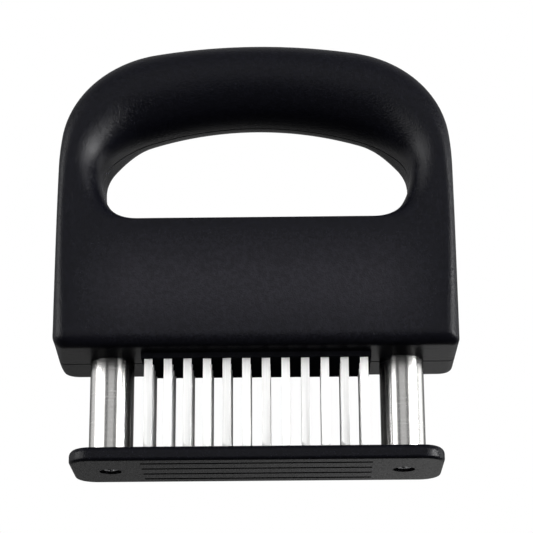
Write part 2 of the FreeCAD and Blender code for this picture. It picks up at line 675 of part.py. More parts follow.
def shell_cavities():
    """Everything that is hollow inside the two shells, as one tool."""
    tools = [
        box("carrier_well", "half_well_length",
            "half_carrier_depth + carrier_clearance", "flange_ledge - carrier_foot",
            "carrier_foot"),
        box("flange_well", "half_well_length",
            "half_flange_depth + carrier_clearance", "carrier_flange_thickness",
            "flange_ledge"),
        box("plate_well", "half_well_length",
            "half_plate_depth + carrier_clearance", "plate_top - carrier_top",
            "carrier_top"),
    ]
    for index in range(-2, 3):
        tools.append(box(f"chamber_{index + 3}", "chamber_width / 2", "chamber_depth / 2",
                         "chamber_height", "plate_top", f"{index} * chamber_pitch"))
    for side, sign in SIDES:
        axis = f"{sign} * half_spacing"
        tools.append(cylinder(f"guide_bore_{side}", "lip_bore_radius",
                              "guide_lip_height + carrier_proud", axis, None, "carrier_foot"))
        tools.append(cylinder(f"bush_pocket_{side}", "pocket_radius",
                              "flange_foot - lip_top", axis, None, "lip_top"))
        tools.append(cylinder(f"flange_seat_{side}", "flange_seat_radius",
                              "rod_flange_thickness", axis, None, "flange_foot"))
        tools.append(box(f"grip_core_{side}", "half_grip_core / 2 - rib_thickness / 4",
                         "grip_core_depth / 2", "grip_core_height", "grip_core_foot",
                         f"{sign} * (half_grip_core / 2 + rib_thickness / 4)"))
    for index, (x, z) in enumerate(dowel_places(), start=1):
        tools.append(crosswise_cylinder(f"dowel_hole_{index}", "dowel_hole_radius",
                                        "dowel_length", x, z))
    return fused("shell_cavities", tools)


def dowel_places():
    """Where the dowels lie, as pairs of levels."""
    spots = []
    for _, sign in SIDES:
        spots.append((f"{sign} * side_dowel", "low_dowel"))
        spots.append((f"{sign} * side_dowel", "high_dowel"))
        spots.append((f"{sign} * grip_dowel", "grip_dowel_level"))
    return spots


def build_shells():
    """Front and rear shell: the body form, split where Y is zero and hollowed."""
    form = build_body_form()
    cavities = shell_cavities()
    for node, depth, start in (("handle_front_shell", "front_depth", "-front_depth"),
                               ("handle_rear_shell", "rear_depth", None)):
        half = doc.addObject("Part::Box", node + "_half")
        bind(half, Length="2 * half_body", Width=depth, Height="crown - body_foot")
        place(half, "-half_body", start, "body_foot")
        solid = doc.addObject("Part::MultiCommon", node + "_solid")
        solid.Shapes = [form, half]
        keep(node, cut(node, solid, cavities))


def build_dowels():
    """Six dowels across the joint of the shells."""
    pins = []
    for index, (x, z) in enumerate(dowel_places(), start=1):
        pins.append(crosswise_cylinder(f"dowel_{index}", "dowel_radius", "dowel_length", x, z))
    group = doc.addObject("Part::Compound", "shell_dowels")
    group.Links = pins
    keep("shell_dowels", group)


def pad(body, sketch, name, length, midplane=False):
    """Extrude a sketch in its body."""
    item = body.newObject("PartDesign::Pad", name)
    item.Profile = sketch
    item.Midplane = midplane
    item.setExpression("Length", with_owners(length))
    doc.recompute()
    return item


def pocket(body, sketch, name, length, reverse=False):
    """Cut a sketch out of its body, and make sure that it removed something."""
    before = body.Shape.Volume
    item = body.newObject("PartDesign::Pocket", name)
    item.Profile = sketch
    item.Reversed = reverse
    item.setExpression("Length", with_owners(length))
    doc.recompute()
    if body.Shape.Volume > before - 0.001:
        raise ValueError(f"{name} removes nothing")
    return item


def pattern(body, originals, name, sketch, axis, count, length):
    """Repeat features evenly along a sketch axis, about the middle."""
    item = body.newObject("PartDesign::LinearPattern", name)
    item.Originals = originals
    item.Direction = (sketch, [axis])
    item.Mode = "Extent"
    item.setExpression("Length", with_owners(length))
    item.setExpression("Occurrences", with_owners(count))
    body.Tip = item
    doc.recompute()
    return item


def fillet(body, name, radius, choose):
    """Round the edges of the body's last feature that choose picks."""
    base = body.Tip
    names = [f"Edge{i}" for i, edge in enumerate(base.Shape.Edges, start=1) if choose(edge)]
    item = body.newObject("PartDesign::Fillet", name)
    item.Base = (base, names)
    item.setExpression("Radius", with_owners(radius))
    doc.recompute()
    return item


def rectangle(sketch, half_width, half_depth):
    """A rectangle about the sketch's origin."""
    polygon(sketch, (
        ("-" + half_width, "-" + half_depth),
        (half_width, "-" + half_depth),
        (half_width, half_depth),
        ("-" + half_width, half_depth),
    ))


def build_guard_plate():
    """Slotted foot plate with column sockets above and screw recesses below."""
    body = doc.addObject("PartDesign::Body", "guard_body")
    outline = body_sketch(body, "guard_outline", "XY_Plane")
    rectangle(outline, "half_guard", "half_guard_depth")
    pad(body, outline, "guard_slab", "guard_thickness")
    fillet(body, "guard_corners", "guard_corner_radius",
           lambda edge: edge.BoundBox.ZLength > 1)
    top, foot = number("guard_thickness"), 0.0
    fillet(body, "guard_upper_edge", "guard_top_round",
           lambda edge: edge.BoundBox.ZMin > top - 0.01)
    fillet(body, "guard_lower_edge", "guard_foot_round",
           lambda edge: edge.BoundBox.ZMax < foot + 0.01)
    slot = body_sketch(body, "guard_slot_outline", "XY_Plane")
    polygon(slot, (
        ("-half_slot_length", "-slot_outer_edge"),
        ("half_slot_length", "-slot_outer_edge"),
        ("half_slot_length", "-slot_inner_edge"),
        ("-half_slot_length", "-slot_inner_edge"),
    ))
    first = pocket(body, slot, "guard_slot", "guard_thickness", True)
    pattern(body, [first], "guard_slots", slot, "V_Axis", "blade_rows", "2 * row_reach")
    sockets = body_sketch(body, "socket_outline", "XY_Plane", "guard_thickness")
    recesses = body_sketch(body, "recess_outline", "XY_Plane")
    holes = body_sketch(body, "screw_hole_outline", "XY_Plane")
    for _, sign in SIDES:
        axis = "half_spacing" if sign > 0 else "-half_spacing"
        circle(sockets, "socket_radius", axis)
        circle(recesses, "counterbore_radius", axis)
        circle(holes, "web_hole_radius", axis)
    pocket(body, sockets, "column_sockets", "column_socket_depth")
    pocket(body, recesses, "screw_recesses", "counterbore_depth", True)
    pocket(body, holes, "screw_holes", "guard_thickness", True)
    keep("guard_plate", body)


def build_column(side, sign):
    """Steel tube with a groove for its retaining ring."""
    axis = f"{sign} * half_spacing"
    tube = cylinder(f"tube_{side}", "column_radius", "column_length", axis, None, "column_foot")
    bore = cylinder(f"tube_bore_{side}", "column_bore_radius", "column_length",
                    axis, None, "column_foot")
    hollow = cut(f"hollow_tube_{side}", tube, bore)
    outer = cylinder(f"groove_outer_{side}", "column_radius + ring_reach", "ring_thickness",
                     axis, None, "ring_foot")
    core = cylinder(f"groove_core_{side}", "ring_inner_radius", "ring_thickness",
                    axis, None, "ring_foot")
    groove = cut(f"groove_{side}", outer, core)
    keep(f"column_{side}", cut(f"column_{side}", hollow, groove))


def build_foot_plug(side, sign):
    """Tapped plug in the column's foot."""
    axis = f"{sign} * half_spacing"
    blank = cylinder(f"plug_blank_{side}", "plug_radius", "plug_height",
                     axis, None, "column_foot")
    thread = cylinder(f"plug_thread_{side}", "tapped_radius", "plug_thread_depth",
                      axis, None, "column_foot")
    keep(f"foot_plug_{side}", cut(f"foot_plug_{side}", blank, thread))


def build_guard_screws():
    """Two cross-head screws that pull the columns onto the guard."""
    screws = []
    for side, sign in SIDES:
        axis = f"{sign} * half_spacing"
        head = cylinder(f"guard_screw_head_{side}", "guard_screw_head_radius",
                        "guard_screw_head_height", axis, None, "guard_screw_head_bottom")
        shank = cylinder(f"guard_screw_shank_{side}", "guard_screw_radius",
                         "guard_screw_length", axis, None, "counterbore_depth")
        screws.append(fused(f"guard_screw_{side}", [head, shank]))
    group = doc.addObject("Part::Compound", "guard_screws")
    group.Links = screws
    keep("guard_screws", group)


def build_stop_bush(side, sign):
    """Nylon bush that meets the guide lip when the handle is up."""
    axis = f"{sign} * half_spacing"
    blank = cylinder(f"bush_blank_{side}", "bush_radius", "stop_bush_height",
                     axis, None, "lip_top")
    bore = cylinder(f"bush_bore_{side}", "socket_radius", "stop_bush_height",
                    axis, None, "lip_top")
    keep(f"stop_bush_{side}", cut(f"stop_bush_{side}", blank, bore))


def build_retaining_rings():
    """Open rings in the column grooves, above the stop bushes."""
    rings = []
    for side, sign in SIDES:
        axis = f"{sign} * half_spacing"
        disc = cylinder(f"ring_disc_{side}", "ring_outer_radius", "ring_thickness",
                        axis, None, "ring_foot")
        hole = cylinder(f"ring_hole_{side}", "ring_inner_radius", "ring_thickness",
                        axis, None, "ring_foot")
        closed = cut(f"ring_closed_{side}", disc, hole)
        mouth = doc.addObject("Part::Box", f"ring_mouth_{side}")
        bind(mouth, Length="ring_opening", Width="ring_outer_radius", Height="ring_thickness")
        place(mouth, f"{axis} - ring_opening / 2", None, "ring_foot")
        rings.append(cut(f"retaining_ring_{side}", closed, mouth))
    group = doc.addObject("Part::Compound", "retaining_rings")
    group.Links = rings
    keep("retaining_rings", group)


def build_spring(side, sign):
    """Compression spring between the foot plug and the rod's flange."""
    coil = doc.addObject("Part::Helix", f"coil_{side}")
    bind(coil, Pitch="coil_pitch", Height="coil_length", Radius="coil_radius")
    wire = doc.addObject("Part::Circle", f"wire_{side}")
    bind(wire, Radius="wire_radius")
    wire.Placement.Rotation = Rotation(Vector(1, 0, 0), 90)
    place(wire, "coil_radius")
    doc.recompute()
    spring = doc.addObject("Part::Sweep", f"return_spring_{side}")
    spring.Sections = [wire]
    spring.Spine = (coil, ["Edge1"])
    spring.Solid = True
    spring.Frenet = True
    keep(f"return_spring_{side}", place(spring, f"{sign} * half_spacing", None, "coil_foot"))


def build_spring_rod(side, sign):
    """Rod inside the spring, hung by its flange between the shells."""
    axis = f"{sign} * half_spacing"
    flange = cylinder(f"rod_flange_{side}", "flange_radius", "rod_flange_thickness",
                      axis, None, "flange_foot")
    stem = cylinder(f"rod_stem_{side}", "rod_radius", "rod_length - rod_tip_round",
                    axis, None, "rod_foot + rod_tip_round")
    tip = cone(f"rod_tip_{side}", "rod_radius - rod_tip_round", "rod_radius",
               "rod_tip_round", axis, "rod_foot")
    keep(f"spring_rod_{side}", fused(f"spring_rod_{side}", [flange, stem, tip]))


def blade_outline(sketch, centre, lean):
    """One blade in front view; lean is the side that its point is on."""
    left, right = f"blade_{centre}_left", f"blade_{centre}_right"
    head_left, head_right = f"head_{centre}_left", f"head_{centre}_right"
    low_left, low_right = ("slant_top", "blade_tip_recess") if lean > 0 else ("blade_tip_recess", "slant_top")
    polygon(sketch, (
        (left, low_left),
        (right, low_right),
        (right, "carrier_top"),
        (head_right, "carrier_top"),
        (head_right, "plate_foot"),
        (head_left, "plate_foot"),
        (head_left, "carrier_top"),
        (left, "carrier_top"),
    ))


def build_blade_row(row):
    """Twelve separate blades, their slanted ends leaning left and right by turns."""
    body = doc.addObject("PartDesign::Body", f"blade_row_body_{row}")
    body.AllowCompound = True
    pair = body_sketch(body, f"blade_pair_{row}", "XZ_Plane")
    blade_outline(pair, "odd", 1)
    blade_outline(pair, "even", -1)
    blades = pad(body, pair, f"blades_{row}", "blade_thickness", True)
    pattern(body, [blades], f"blades_along_row_{row}", pair, "H_Axis",
            "blades_per_row / 2", "blade_pitch * (blades_per_row - 2)")
    place(body, None, f"({row} - (blade_rows + 1) / 2) * row_spacing")
    sharpened = sharpen(body, row)
    keep(f"blade_row_{row}", sharpened)


def sharpen(body, row):
    """Grind the front of every slanted end down to a cutting edge."""
    shape = body.Shape
    low, high = number("blade_tip_recess"), number("slant_top")
    front = shape.BoundBox.YMin
    depth = number("blade_thickness") - number("edge_flat")
    length = number("grind_length")
    grinds = []
    for index, edge in enumerate(shape.Edges, start=1):
        span = edge.BoundBox
        at_end = abs(span.ZMin - low) < 0.01 and abs(span.ZMax - high) < 0.01
        if at_end and span.XLength > 0.1 and span.YMax < front + 0.01:
            first_face = shape.ancestorsOfType(edge, Part.Face)[0]
            faces_front = abs(first_face.normalAt(0, 0).y) > 0.9
            grinds.append((index, length, depth) if faces_front else (index, depth, length))
    item = doc.addObject("Part::Chamfer", f"blade_row_{row}")
    item.Base = body
    item.Edges = grinds
    doc.recompute()
    return item


def build_blade_carrier():
    """Moulded block with a slot for each blade and a flange held by the shells."""
    body = doc.addObject("PartDesign::Body", "carrier_body")
    outline = body_sketch(body, "carrier_outline", "XY_Plane", "carrier_foot")
    rectangle(outline, "half_carrier_length", "half_carrier_depth")
    pad(body, outline, "carrier_block", "carrier_height")
    flange = body_sketch(body, "carrier_flange_outline", "XY_Plane", "flange_ledge")
    rectangle(flange, "half_carrier_length", "half_flange_depth")
    pad(body, flange, "carrier_flanges", "carrier_flange_thickness")
    bosses = body_sketch(body, "boss_outline", "XY_Plane", "carrier_top")
    circle(bosses, "boss_radius")
    circle(bosses, "boss_radius", "screw_reach")
    circle(bosses, "boss_radius", "-screw_reach")
    pad(body, bosses, "screw_bosses", "blade_head_height")
    slot = body_sketch(body, "blade_slot_outline", "XY_Plane", "carrier_foot")
    polygon(slot, (
        ("blade_slot_left", "blade_slot_front"),
        ("blade_slot_right", "blade_slot_front"),
        ("blade_slot_right", "blade_slot_rear"),
        ("blade_slot_left", "blade_slot_rear"),
    ))
    first = pocket(body, slot, "blade_slot", "carrier_height", True)
    grid = body.newObject("PartDesign::LinearPattern", "blade_slots")
    grid.Originals = [first]
    grid.Direction = (slot, ["H_Axis"])
    grid.Mode = "Extent"
    grid.setExpression("Length", with_owners("2 * blade_reach"))
    grid.setExpression("Occurrences", with_owners("blades_per_row"))
    grid.Direction2 = (slot, ["V_Axis"])
    grid.Mode2 = "Extent"
    grid.setExpression("Length2", with_owners("2 * row_reach"))
    grid.setExpression("Occurrences2", with_owners("blade_rows"))
    body.Tip = grid
    doc.recompute()
    holes = body_sketch(body, "boss_hole_outline", "XY_Plane", "plate_foot")
    circle(holes, "boss_hole_radius")
    circle(holes, "boss_hole_radius", "screw_reach")
    circle(holes, "boss_hole_radius", "-screw_reach")
    pocket(body, holes, "boss_holes", "plate_foot - plate_screw_tip")
    keep("blade_carrier", body)


def build_backing_plate():
    """Steel plate over the blade heads."""
    body = doc.addObject("PartDesign::Body", "backing_plate_body")
    outline = body_sketch(body, "backing_plate_outline", "XY_Plane", "plate_foot")
    rectangle(outline, "half_plate_length", "half_plate_depth")
    pad(body, outline, "backing_slab", "plate_thickness")
    fillet(body, "backing_corners", "plate_corner_radius",
           lambda edge: edge.BoundBox.ZLength > 1)
    holes = body_sketch(body, "plate_hole_outline", "XY_Plane", "plate_foot")
    circle(holes, "plate_hole_radius")
    circle(holes, "plate_hole_radius", "screw_reach")
    circle(holes, "plate_hole_radius", "-screw_reach")
    pocket(body, holes, "plate_holes", "plate_thickness", True)
    keep("blade_backing_plate", body)


def build_plate_screws():
    """Three screws through the backing plate into the carrier."""
    screws = []
    for index in (-1, 0, 1):
        axis = f"{index} * screw_reach"
        head = cylinder(f"plate_screw_head_{index + 2}", "plate_screw_head_radius",
                        "plate_screw_head_height", axis, None, "plate_top")
        shank = cylinder(f"plate_screw_shank_{index + 2}", "plate_screw_radius",
                         "plate_screw_length", axis, None, "plate_screw_tip")
        screws.append(fused(f"plate_screw_{index + 2}", [head, shank]))
    group = doc.addObject("Part::Compound", "plate_screws")
    group.Links = screws
    keep("plate_screws", group)


def build_model():
    """Make every sub-part."""
    fill_sheet()
    build_guard_plate()
    build_guard_screws()
    build_retaining_rings()
    for side, sign in SIDES:
        build_column(side, sign)
        build_foot_plug(side, sign)
        build_stop_bush(side, sign)
        build_spring(side, sign)
        build_spring_rod(side, sign)
    build_shells()
    build_dowels()
    build_blade_carrier()
    for row in range(1, round(number("blade_rows")) + 1):
        build_blade_row(row)
    build_backing_plate()
    build_plate_screws()
    doc.recompute()


def check_model():
    """Refuse to write a model with a failed object or an invalid shape."""
    for item in doc.Objects:
        if "Invalid" in item.State or "Error" in item.State:
            raise ValueError(f"{item.Label}: {item.State}")
    for node, item in parts.items():
        if item.Shape.isNull() or not item.Shape.isValid():
            raise ValueError(f"{node} has no valid shape")
        print(f"{node}: {len(item.Shape.Solids)} solids, {item.Shape.Volume / 1000:.2f} cm3")


def write_parts():
    """Write one STEP file for each sub-part."""
    os.makedirs("parts", exist_ok=True)
    for node, item in parts.items():
        item.Shape.exportStep(f"parts/{node}.step")


build_model()
check_model()
write_parts()
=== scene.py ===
"""Looks of the blade meat tenderizer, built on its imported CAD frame.

Every length is in metres in the frame of the CAD model: +X along the blade rows, +Y to the
rear and +Z up, with the origin under the middle of the guard plate.
"""

import logging
import math
from dataclasses import dataclass, field
from enum import Enum

import bmesh
import bpy
from mathutils import Matrix, Vector


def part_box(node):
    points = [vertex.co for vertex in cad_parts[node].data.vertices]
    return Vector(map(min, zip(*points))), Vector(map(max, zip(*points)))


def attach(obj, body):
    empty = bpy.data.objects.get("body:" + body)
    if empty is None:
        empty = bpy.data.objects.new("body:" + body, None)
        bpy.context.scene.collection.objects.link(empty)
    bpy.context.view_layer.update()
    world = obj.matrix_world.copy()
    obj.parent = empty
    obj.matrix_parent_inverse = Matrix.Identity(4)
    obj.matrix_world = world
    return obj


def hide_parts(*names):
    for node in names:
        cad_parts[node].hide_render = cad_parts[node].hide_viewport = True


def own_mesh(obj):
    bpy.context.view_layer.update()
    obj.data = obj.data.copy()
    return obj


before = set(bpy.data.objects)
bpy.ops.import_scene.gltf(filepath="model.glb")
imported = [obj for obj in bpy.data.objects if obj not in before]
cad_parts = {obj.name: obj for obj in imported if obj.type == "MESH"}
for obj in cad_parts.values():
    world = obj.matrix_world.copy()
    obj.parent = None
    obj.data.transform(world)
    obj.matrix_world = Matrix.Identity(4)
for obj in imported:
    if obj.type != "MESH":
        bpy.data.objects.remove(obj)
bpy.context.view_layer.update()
MM = 0.001
WHITE = (1.0, 1.0, 1.0, 1.0)
Socket = bpy.types.NodeSocket
Feed = bpy.types.NodeSocket | float
Colour = tuple[float, float, float]
log = logging.getLogger("tenderizer")


class Body(Enum):
    """The two bodies that the stroke joint parts."""

    GUARD = "guard"
    HANDLE = "handle"


class Grain(Enum):
    """Way that the lines of a brushed metal run, as lines in a metre along X, Y and Z."""

    ROUND = (70.0, 70.0, 6500.0)
    UPRIGHT = (5200.0, 5200.0, 90.0)
    TURNED = (900.0, 900.0, 2600.0)


class Mix(Enum):
    """What a Mix node mixes, with the numbers of its two inputs and of its output."""

    NUMBER = ("FLOAT", 2, 3, 0)
    COLOUR = ("RGBA", 6, 7, 2)


# --------------------------------------------------------------------------------------
# Wiring of node trees
# --------------------------------------------------------------------------------------


@dataclass
class Graph:
    """A node tree that is being wired."""

    tree: bpy.types.NodeTree

    def node(self, kind: str, feeds: dict[str | int, object] | None = None,
             **settings: object) -> bpy.types.Node:
        """Add a node and feed its inputs.

        Args:
            kind: type name of the node.
            feeds: value or source socket of each input, by the input's name or number.
            settings: properties of the node itself.

        Returns:
            The new node.
        """
        node = self.tree.nodes.new(kind)
        for name, value in settings.items():
            setattr(node, name, value)
        for key, value in (feeds or {}).items():
            socket = node.inputs[key]
            if isinstance(value, bpy.types.NodeSocket):
                self.tree.links.new(value, socket)
            else:
                socket.default_value = value
        return node

    def math(self, operation: str, *values: Feed, clamp: bool = False) -> Socket:
        """Add a Math node.

        Args:
            operation: what it works out.
            values: its inputs in order, numbers or sockets.
            clamp: keeps the result between 0 and 1.

        Returns:
            The socket with the result.
        """
        feeds = dict(enumerate(values))
        node = self.node("ShaderNodeMath", feeds, operation=operation, use_clamp=clamp)
        return node.outputs[0]

    def off(self, value: Socket, middle: float) -> Socket:
        """Return how far a value is from a middle, on either side of it."""
        return self.math("ABSOLUTE", self.math("SUBTRACT", value, middle))

    def spread(self, value: Feed, low: float, high: float, to_low: float = 0.0,
               to_high: float = 1.0) -> Socket:
        """Map a value from one range to another and keep it inside the second.

        Args:
            value: socket to map.
            low: value that becomes to_low.
            high: value that becomes to_high.
            to_low: first end of the result.
            to_high: other end of the result.

        Returns:
            The socket with the result.
        """
        feeds = {"Value": value, "From Min": low, "From Max": high,
                 "To Min": to_low, "To Max": to_high}
        return self.node("ShaderNodeMapRange", feeds).outputs["Result"]

    def between(self, share: Socket, first: float, last: float) -> Socket:
        """Return a value that runs from first to last while a share runs from 0 to 1."""
        return self.spread(share, 0.0, 1.0, first, last)

    def mix(self, kind: Mix, share: Socket, first: object, last: object) -> Socket:
        """Mix two numbers or two colours.

        Args:
            kind: whether they are numbers or colours.
            share: 0 where the result is the first and 1 where it is the last.
            first: value or source socket.
            last: value or source socket.

        Returns:
            The socket with the result.
        """
        data_type, low, high, result = kind.value
        feeds = {0: share, low: first, high: last}
        return self.node("ShaderNodeMix", feeds, data_type=data_type).outputs[result]

    def tinted(self, colour: Colour, level: Socket) -> Socket:
        """Return a colour times a level."""
        feeds = {0: colour, "Scale": level}
        return self.node("ShaderNodeVectorMath", feeds, operation="SCALE").outputs[0]

    def ramp(self, value: Socket, stops: tuple[tuple[float, float], ...]) -> Socket:
        """Add a grey ramp.

        Args:
            value: socket that the ramp reads, 0 to 1.
            stops: pairs of place and level.

        Returns:
            The socket with the level.
        """
        node = self.node("ShaderNodeValToRGB", {0: value})
        elements = node.color_ramp.elements
        while len(elements) < len(stops):
            elements.new(1.0)
        for element, (place, level) in zip(elements, stops):
            element.position = place
            element.color = (level, level, level, 1.0)
        return node.outputs[0]

    def noise(self, vector: Socket, scale: Feed, detail: float, roughness: float) -> Socket:
        """Add a 3-D noise.

        Args:
            vector: coordinates that it reads.
            scale: features in a metre, a number or a socket.
            detail: octaves.
            roughness: weight of the finer octaves.

        Returns:
            The socket with the noise, about 0.25 to 0.75.
        """
        feeds = {"Vector": vector, "Scale": scale, "Detail": detail, "Roughness": roughness}
        return self.node("ShaderNodeTexNoise", feeds).outputs[0]

    def place(self) -> Socket:
        """Return the place on the piece, in the piece's own coordinates."""
        return self.node("ShaderNodeTexCoord").outputs["Object"]

    def axes(self) -> bpy.types.bpy_prop_collection:
        """Return that place as three sockets, X, Y and Z."""
        return self.node("ShaderNodeSeparateXYZ", {0: self.place()}).outputs


def shader_group(name: str, inputs: dict[str, float], outputs: tuple[str, ...]) -> tuple[
        bpy.types.NodeTree, Graph, bpy.types.Node, bpy.types.Node]:
    """Start a shader node group with plain number sockets.

    Args:
        name: name of the group.
        inputs: default of each input socket.
        outputs: names of the output sockets.

    Returns:
        The group's tree, its graph, its input node and its output node.
    """
    tree = bpy.data.node_groups.new(name, "ShaderNodeTree")
    for label, default in inputs.items():
        socket = tree.interface.new_socket(label, in_out="INPUT", socket_type="NodeSocketFloat")
        socket.default_value = default
    for label in outputs:
        tree.interface.new_socket(label, in_out="OUTPUT", socket_type="NodeSocketFloat")
    graph = Graph(tree)
    return tree, graph, graph.node("NodeGroupInput"), graph.node("NodeGroupOutput")


class Effects:
    """Shader node groups that several finishes share, each built once.

    Attributes:
        trees: the groups built so far.
        pit_share: height of the pits against that of the fine grain.
        coarse_scale: coarse grains for each fine one, along a line.
        glint_ends: noise at which a grain glints least and most.
        band_scale: bands of brushing for each line.
        band_share: height of the bands against that of the lines.
        tone_ends: noise at which a line is darkest and lightest.
        patch_start: noise at which a patch starts when nothing is covered.
        patch_reach: how much of that start full cover takes away.
        patch_gain: how fast a patch grows strong from its edge inwards.
    """

    trees: dict[str, bpy.types.NodeTree] = {}
    pit_share = 0.45
    coarse_scale = 0.37
    glint_ends = (0.85, 1.2)
    band_scale = 0.23
    band_share = 0.6
    tone_ends = (0.7, 1.3)
    patch_start = 0.78
    patch_reach = 0.4
    patch_gain = 4.0

    @classmethod
    def spark_grain(cls) -> bpy.types.NodeTree:
        """Make the pitted grain that a spark-eroded mould leaves on plastic.

        Returns:
            The group, with a Height and a Glint.
        """
        if "grain" not in cls.trees:
            tree, graph, given, result = shader_group(
                "Spark grain", {"Grains per metre": 1500.0, "Coarseness": 0.4},
                ("Height", "Glint"))
            place, scale = graph.place(), given.outputs["Grains per metre"]
            fine = graph.noise(place, scale, detail=3.0, roughness=0.62)
            pits = graph.node("ShaderNodeTexVoronoi", {"Vector": place, "Scale": scale},
                              feature="SMOOTH_F1").outputs["Distance"]
            coarser = graph.math("MULTIPLY", scale, cls.coarse_scale)
            coarse = graph.noise(place, coarser, detail=2.0, roughness=0.5)
            mixed = graph.math("MULTIPLY_ADD", pits, cls.pit_share, fine)
            height = graph.math("MULTIPLY_ADD", coarse, given.outputs["Coarseness"], mixed)
            glint = graph.spread(graph.math("ADD", fine, coarse), *cls.glint_ends)
            tree.links.new(height, result.inputs["Height"])
            tree.links.new(glint, result.inputs["Glint"])
            cls.trees["grain"] = tree
        return cls.trees["grain"]

    @classmethod
    def brush_lines(cls) -> bpy.types.NodeTree:
        """Make the fine parallel lines of brushed or ground metal.

        Returns:
            The group, with a Height and a Tone.
        """
        if "brush" not in cls.trees:
            tree, graph, given, result = shader_group(
                "Brush lines", {"Across X": 70.0, "Across Y": 70.0, "Along Z": 6500.0},
                ("Height", "Tone"))
            stretch = graph.node("ShaderNodeCombineXYZ", {
                0: given.outputs["Across X"],
                1: given.outputs["Across Y"],
                2: given.outputs["Along Z"],
            }).outputs[0]
            warped = graph.node("ShaderNodeVectorMath", {0: graph.place(), 1: stretch},
                                operation="MULTIPLY").outputs[0]
            lines = graph.noise(warped, 1.0, detail=3.0, roughness=0.7)
            bands = graph.noise(warped, cls.band_scale, detail=2.0, roughness=0.5)
            height = graph.math("MULTIPLY_ADD", bands, cls.band_share, lines)
            tone = graph.spread(graph.math("ADD", lines, bands), *cls.tone_ends)
            tree.links.new(height, result.inputs["Height"])
            tree.links.new(tone, result.inputs["Tone"])
            cls.trees["brush"] = tree
        return cls.trees["brush"]

    @classmethod
    def handling(cls) -> bpy.types.NodeTree:
        """Make the soft patches where hands and cloths have polished a surface.

        Returns:
            The group, with a Patch.
        """
        if "handling" not in cls.trees:
            tree, graph, given, result = shader_group(
                "Handling", {"Patches per metre": 22.0, "Cover": 0.5}, ("Patch",))
            patches = given.outputs["Patches per metre"]
            cloud = graph.noise(graph.place(), patches, detail=4.0, roughness=0.6)
            reach = graph.math("MULTIPLY", given.outputs["Cover"], cls.patch_reach)
            start = graph.math("SUBTRACT", cls.patch_start, reach)
            above = graph.math("SUBTRACT", cloud, start)
            patch = graph.math("MULTIPLY", above, cls.patch_gain, clamp=True)
            tree.links.new(patch, result.inputs["Patch"])
            cls.trees["handling"] = tree
        return cls.trees["handling"]


def new_material(name: str) -> tuple[bpy.types.Material, Graph, bpy.types.Node]:
    """Start a material.

    Args:
        name: name of the material.

    Returns:
        The material, its graph and its Principled shader.
    """
    material = bpy.data.materials.new(name)
    material.use_nodes = True
    graph = Graph(material.node_tree)
    return material, graph, material.node_tree.nodes["Principled BSDF"]


def feed_surface(graph: Graph, shader: bpy.types.Node, tint: Socket, rough: Socket,
                 height: Socket, depth: float) -> None:
    """Feed what changes over a surface into its shader.

    Args:
        graph: the material's graph.
        shader: its Principled shader.
        tint: colour.
        rough: roughness.
        height: height of the grain or the lines.
        depth: what a height of 1 is in metres.
    """
    bump = graph.node("ShaderNodeBump", {"Height": height, "Distance": depth})
    graph.tree.links.new(tint, shader.inputs["Base Color"])
    graph.tree.links.new(rough, shader.inputs["Roughness"])
    graph.tree.links.new(bump.outputs[0], shader.inputs["Normal"])


# --------------------------------------------------------------------------------------
# Finishes
# --------------------------------------------------------------------------------------


@dataclass(frozen=True)
class PartingLine:
    """The fine line at which two moulded shells meet.

    Attributes:
        plane: Y of the line.
        floor: half the width of its dark floor.
        lip: distance from its middle at which the face is as elsewhere.
        tone: share of the colour that the floor keeps.
        rougher: roughness that the floor adds.
        drop: depth of the floor, in depths of the grain.
    """

    plane: float = 0.0
    floor: float = 0.25 * MM
    lip: float = 0.60 * MM
    tone: float = 0.15
    rougher: float = 0.6
    drop: float = 3.0

    def clear(self, graph: Graph) -> Socket:
        """Return 0 on the floor of the line and 1 beside the line."""
        return graph.spread(graph.off(graph.axes()["Y"], self.plane), self.floor, self.lip)


@dataclass(frozen=True)
class PaintedSheenBand:
    """A painted sheen: a paler band added to the pigment that stands in for the soft glow of
    light across the middle of a broad face.

    Attributes:
        height: Z of its middle.
        painted_sheen_colour: colour of the painted sheen that it adds to the pigment at full
            strength, linear.
        upright: distances above and below its middle where it starts to fade and ends.
        across: distances left and right of x = 0 where it starts to fade and ends.
    """

    height: float
    painted_sheen_colour: Colour = (0.0088, 0.0084, 0.0098)
    upright: tuple[float, float] = (4.0 * MM, 24.0 * MM)
    across: tuple[float, float] = (45.0 * MM, 67.0 * MM)

    def tint(self, graph: Graph, shade: Socket) -> Socket:
        """Give the colour of the painted sheen that the band adds.

        Args:
            graph: the material's graph.
            shade: tone of the grain.

        Returns:
            The socket with the added colour.
        """
        axes = graph.axes()
        # Painted sheen: strongest at the band's middle height and near x = 0, fading above,
        # below and towards the ends.
        up = graph.spread(graph.off(axes["Z"], self.height), *self.upright, 1.0, 0.0)
        sideways = graph.spread(graph.off(axes["X"], 0.0), *self.across, 1.0, 0.0)
        share = graph.math("MULTIPLY", graph.math("MULTIPLY", up, sideways), shade)
        return graph.tinted(self.painted_sheen_colour, share)


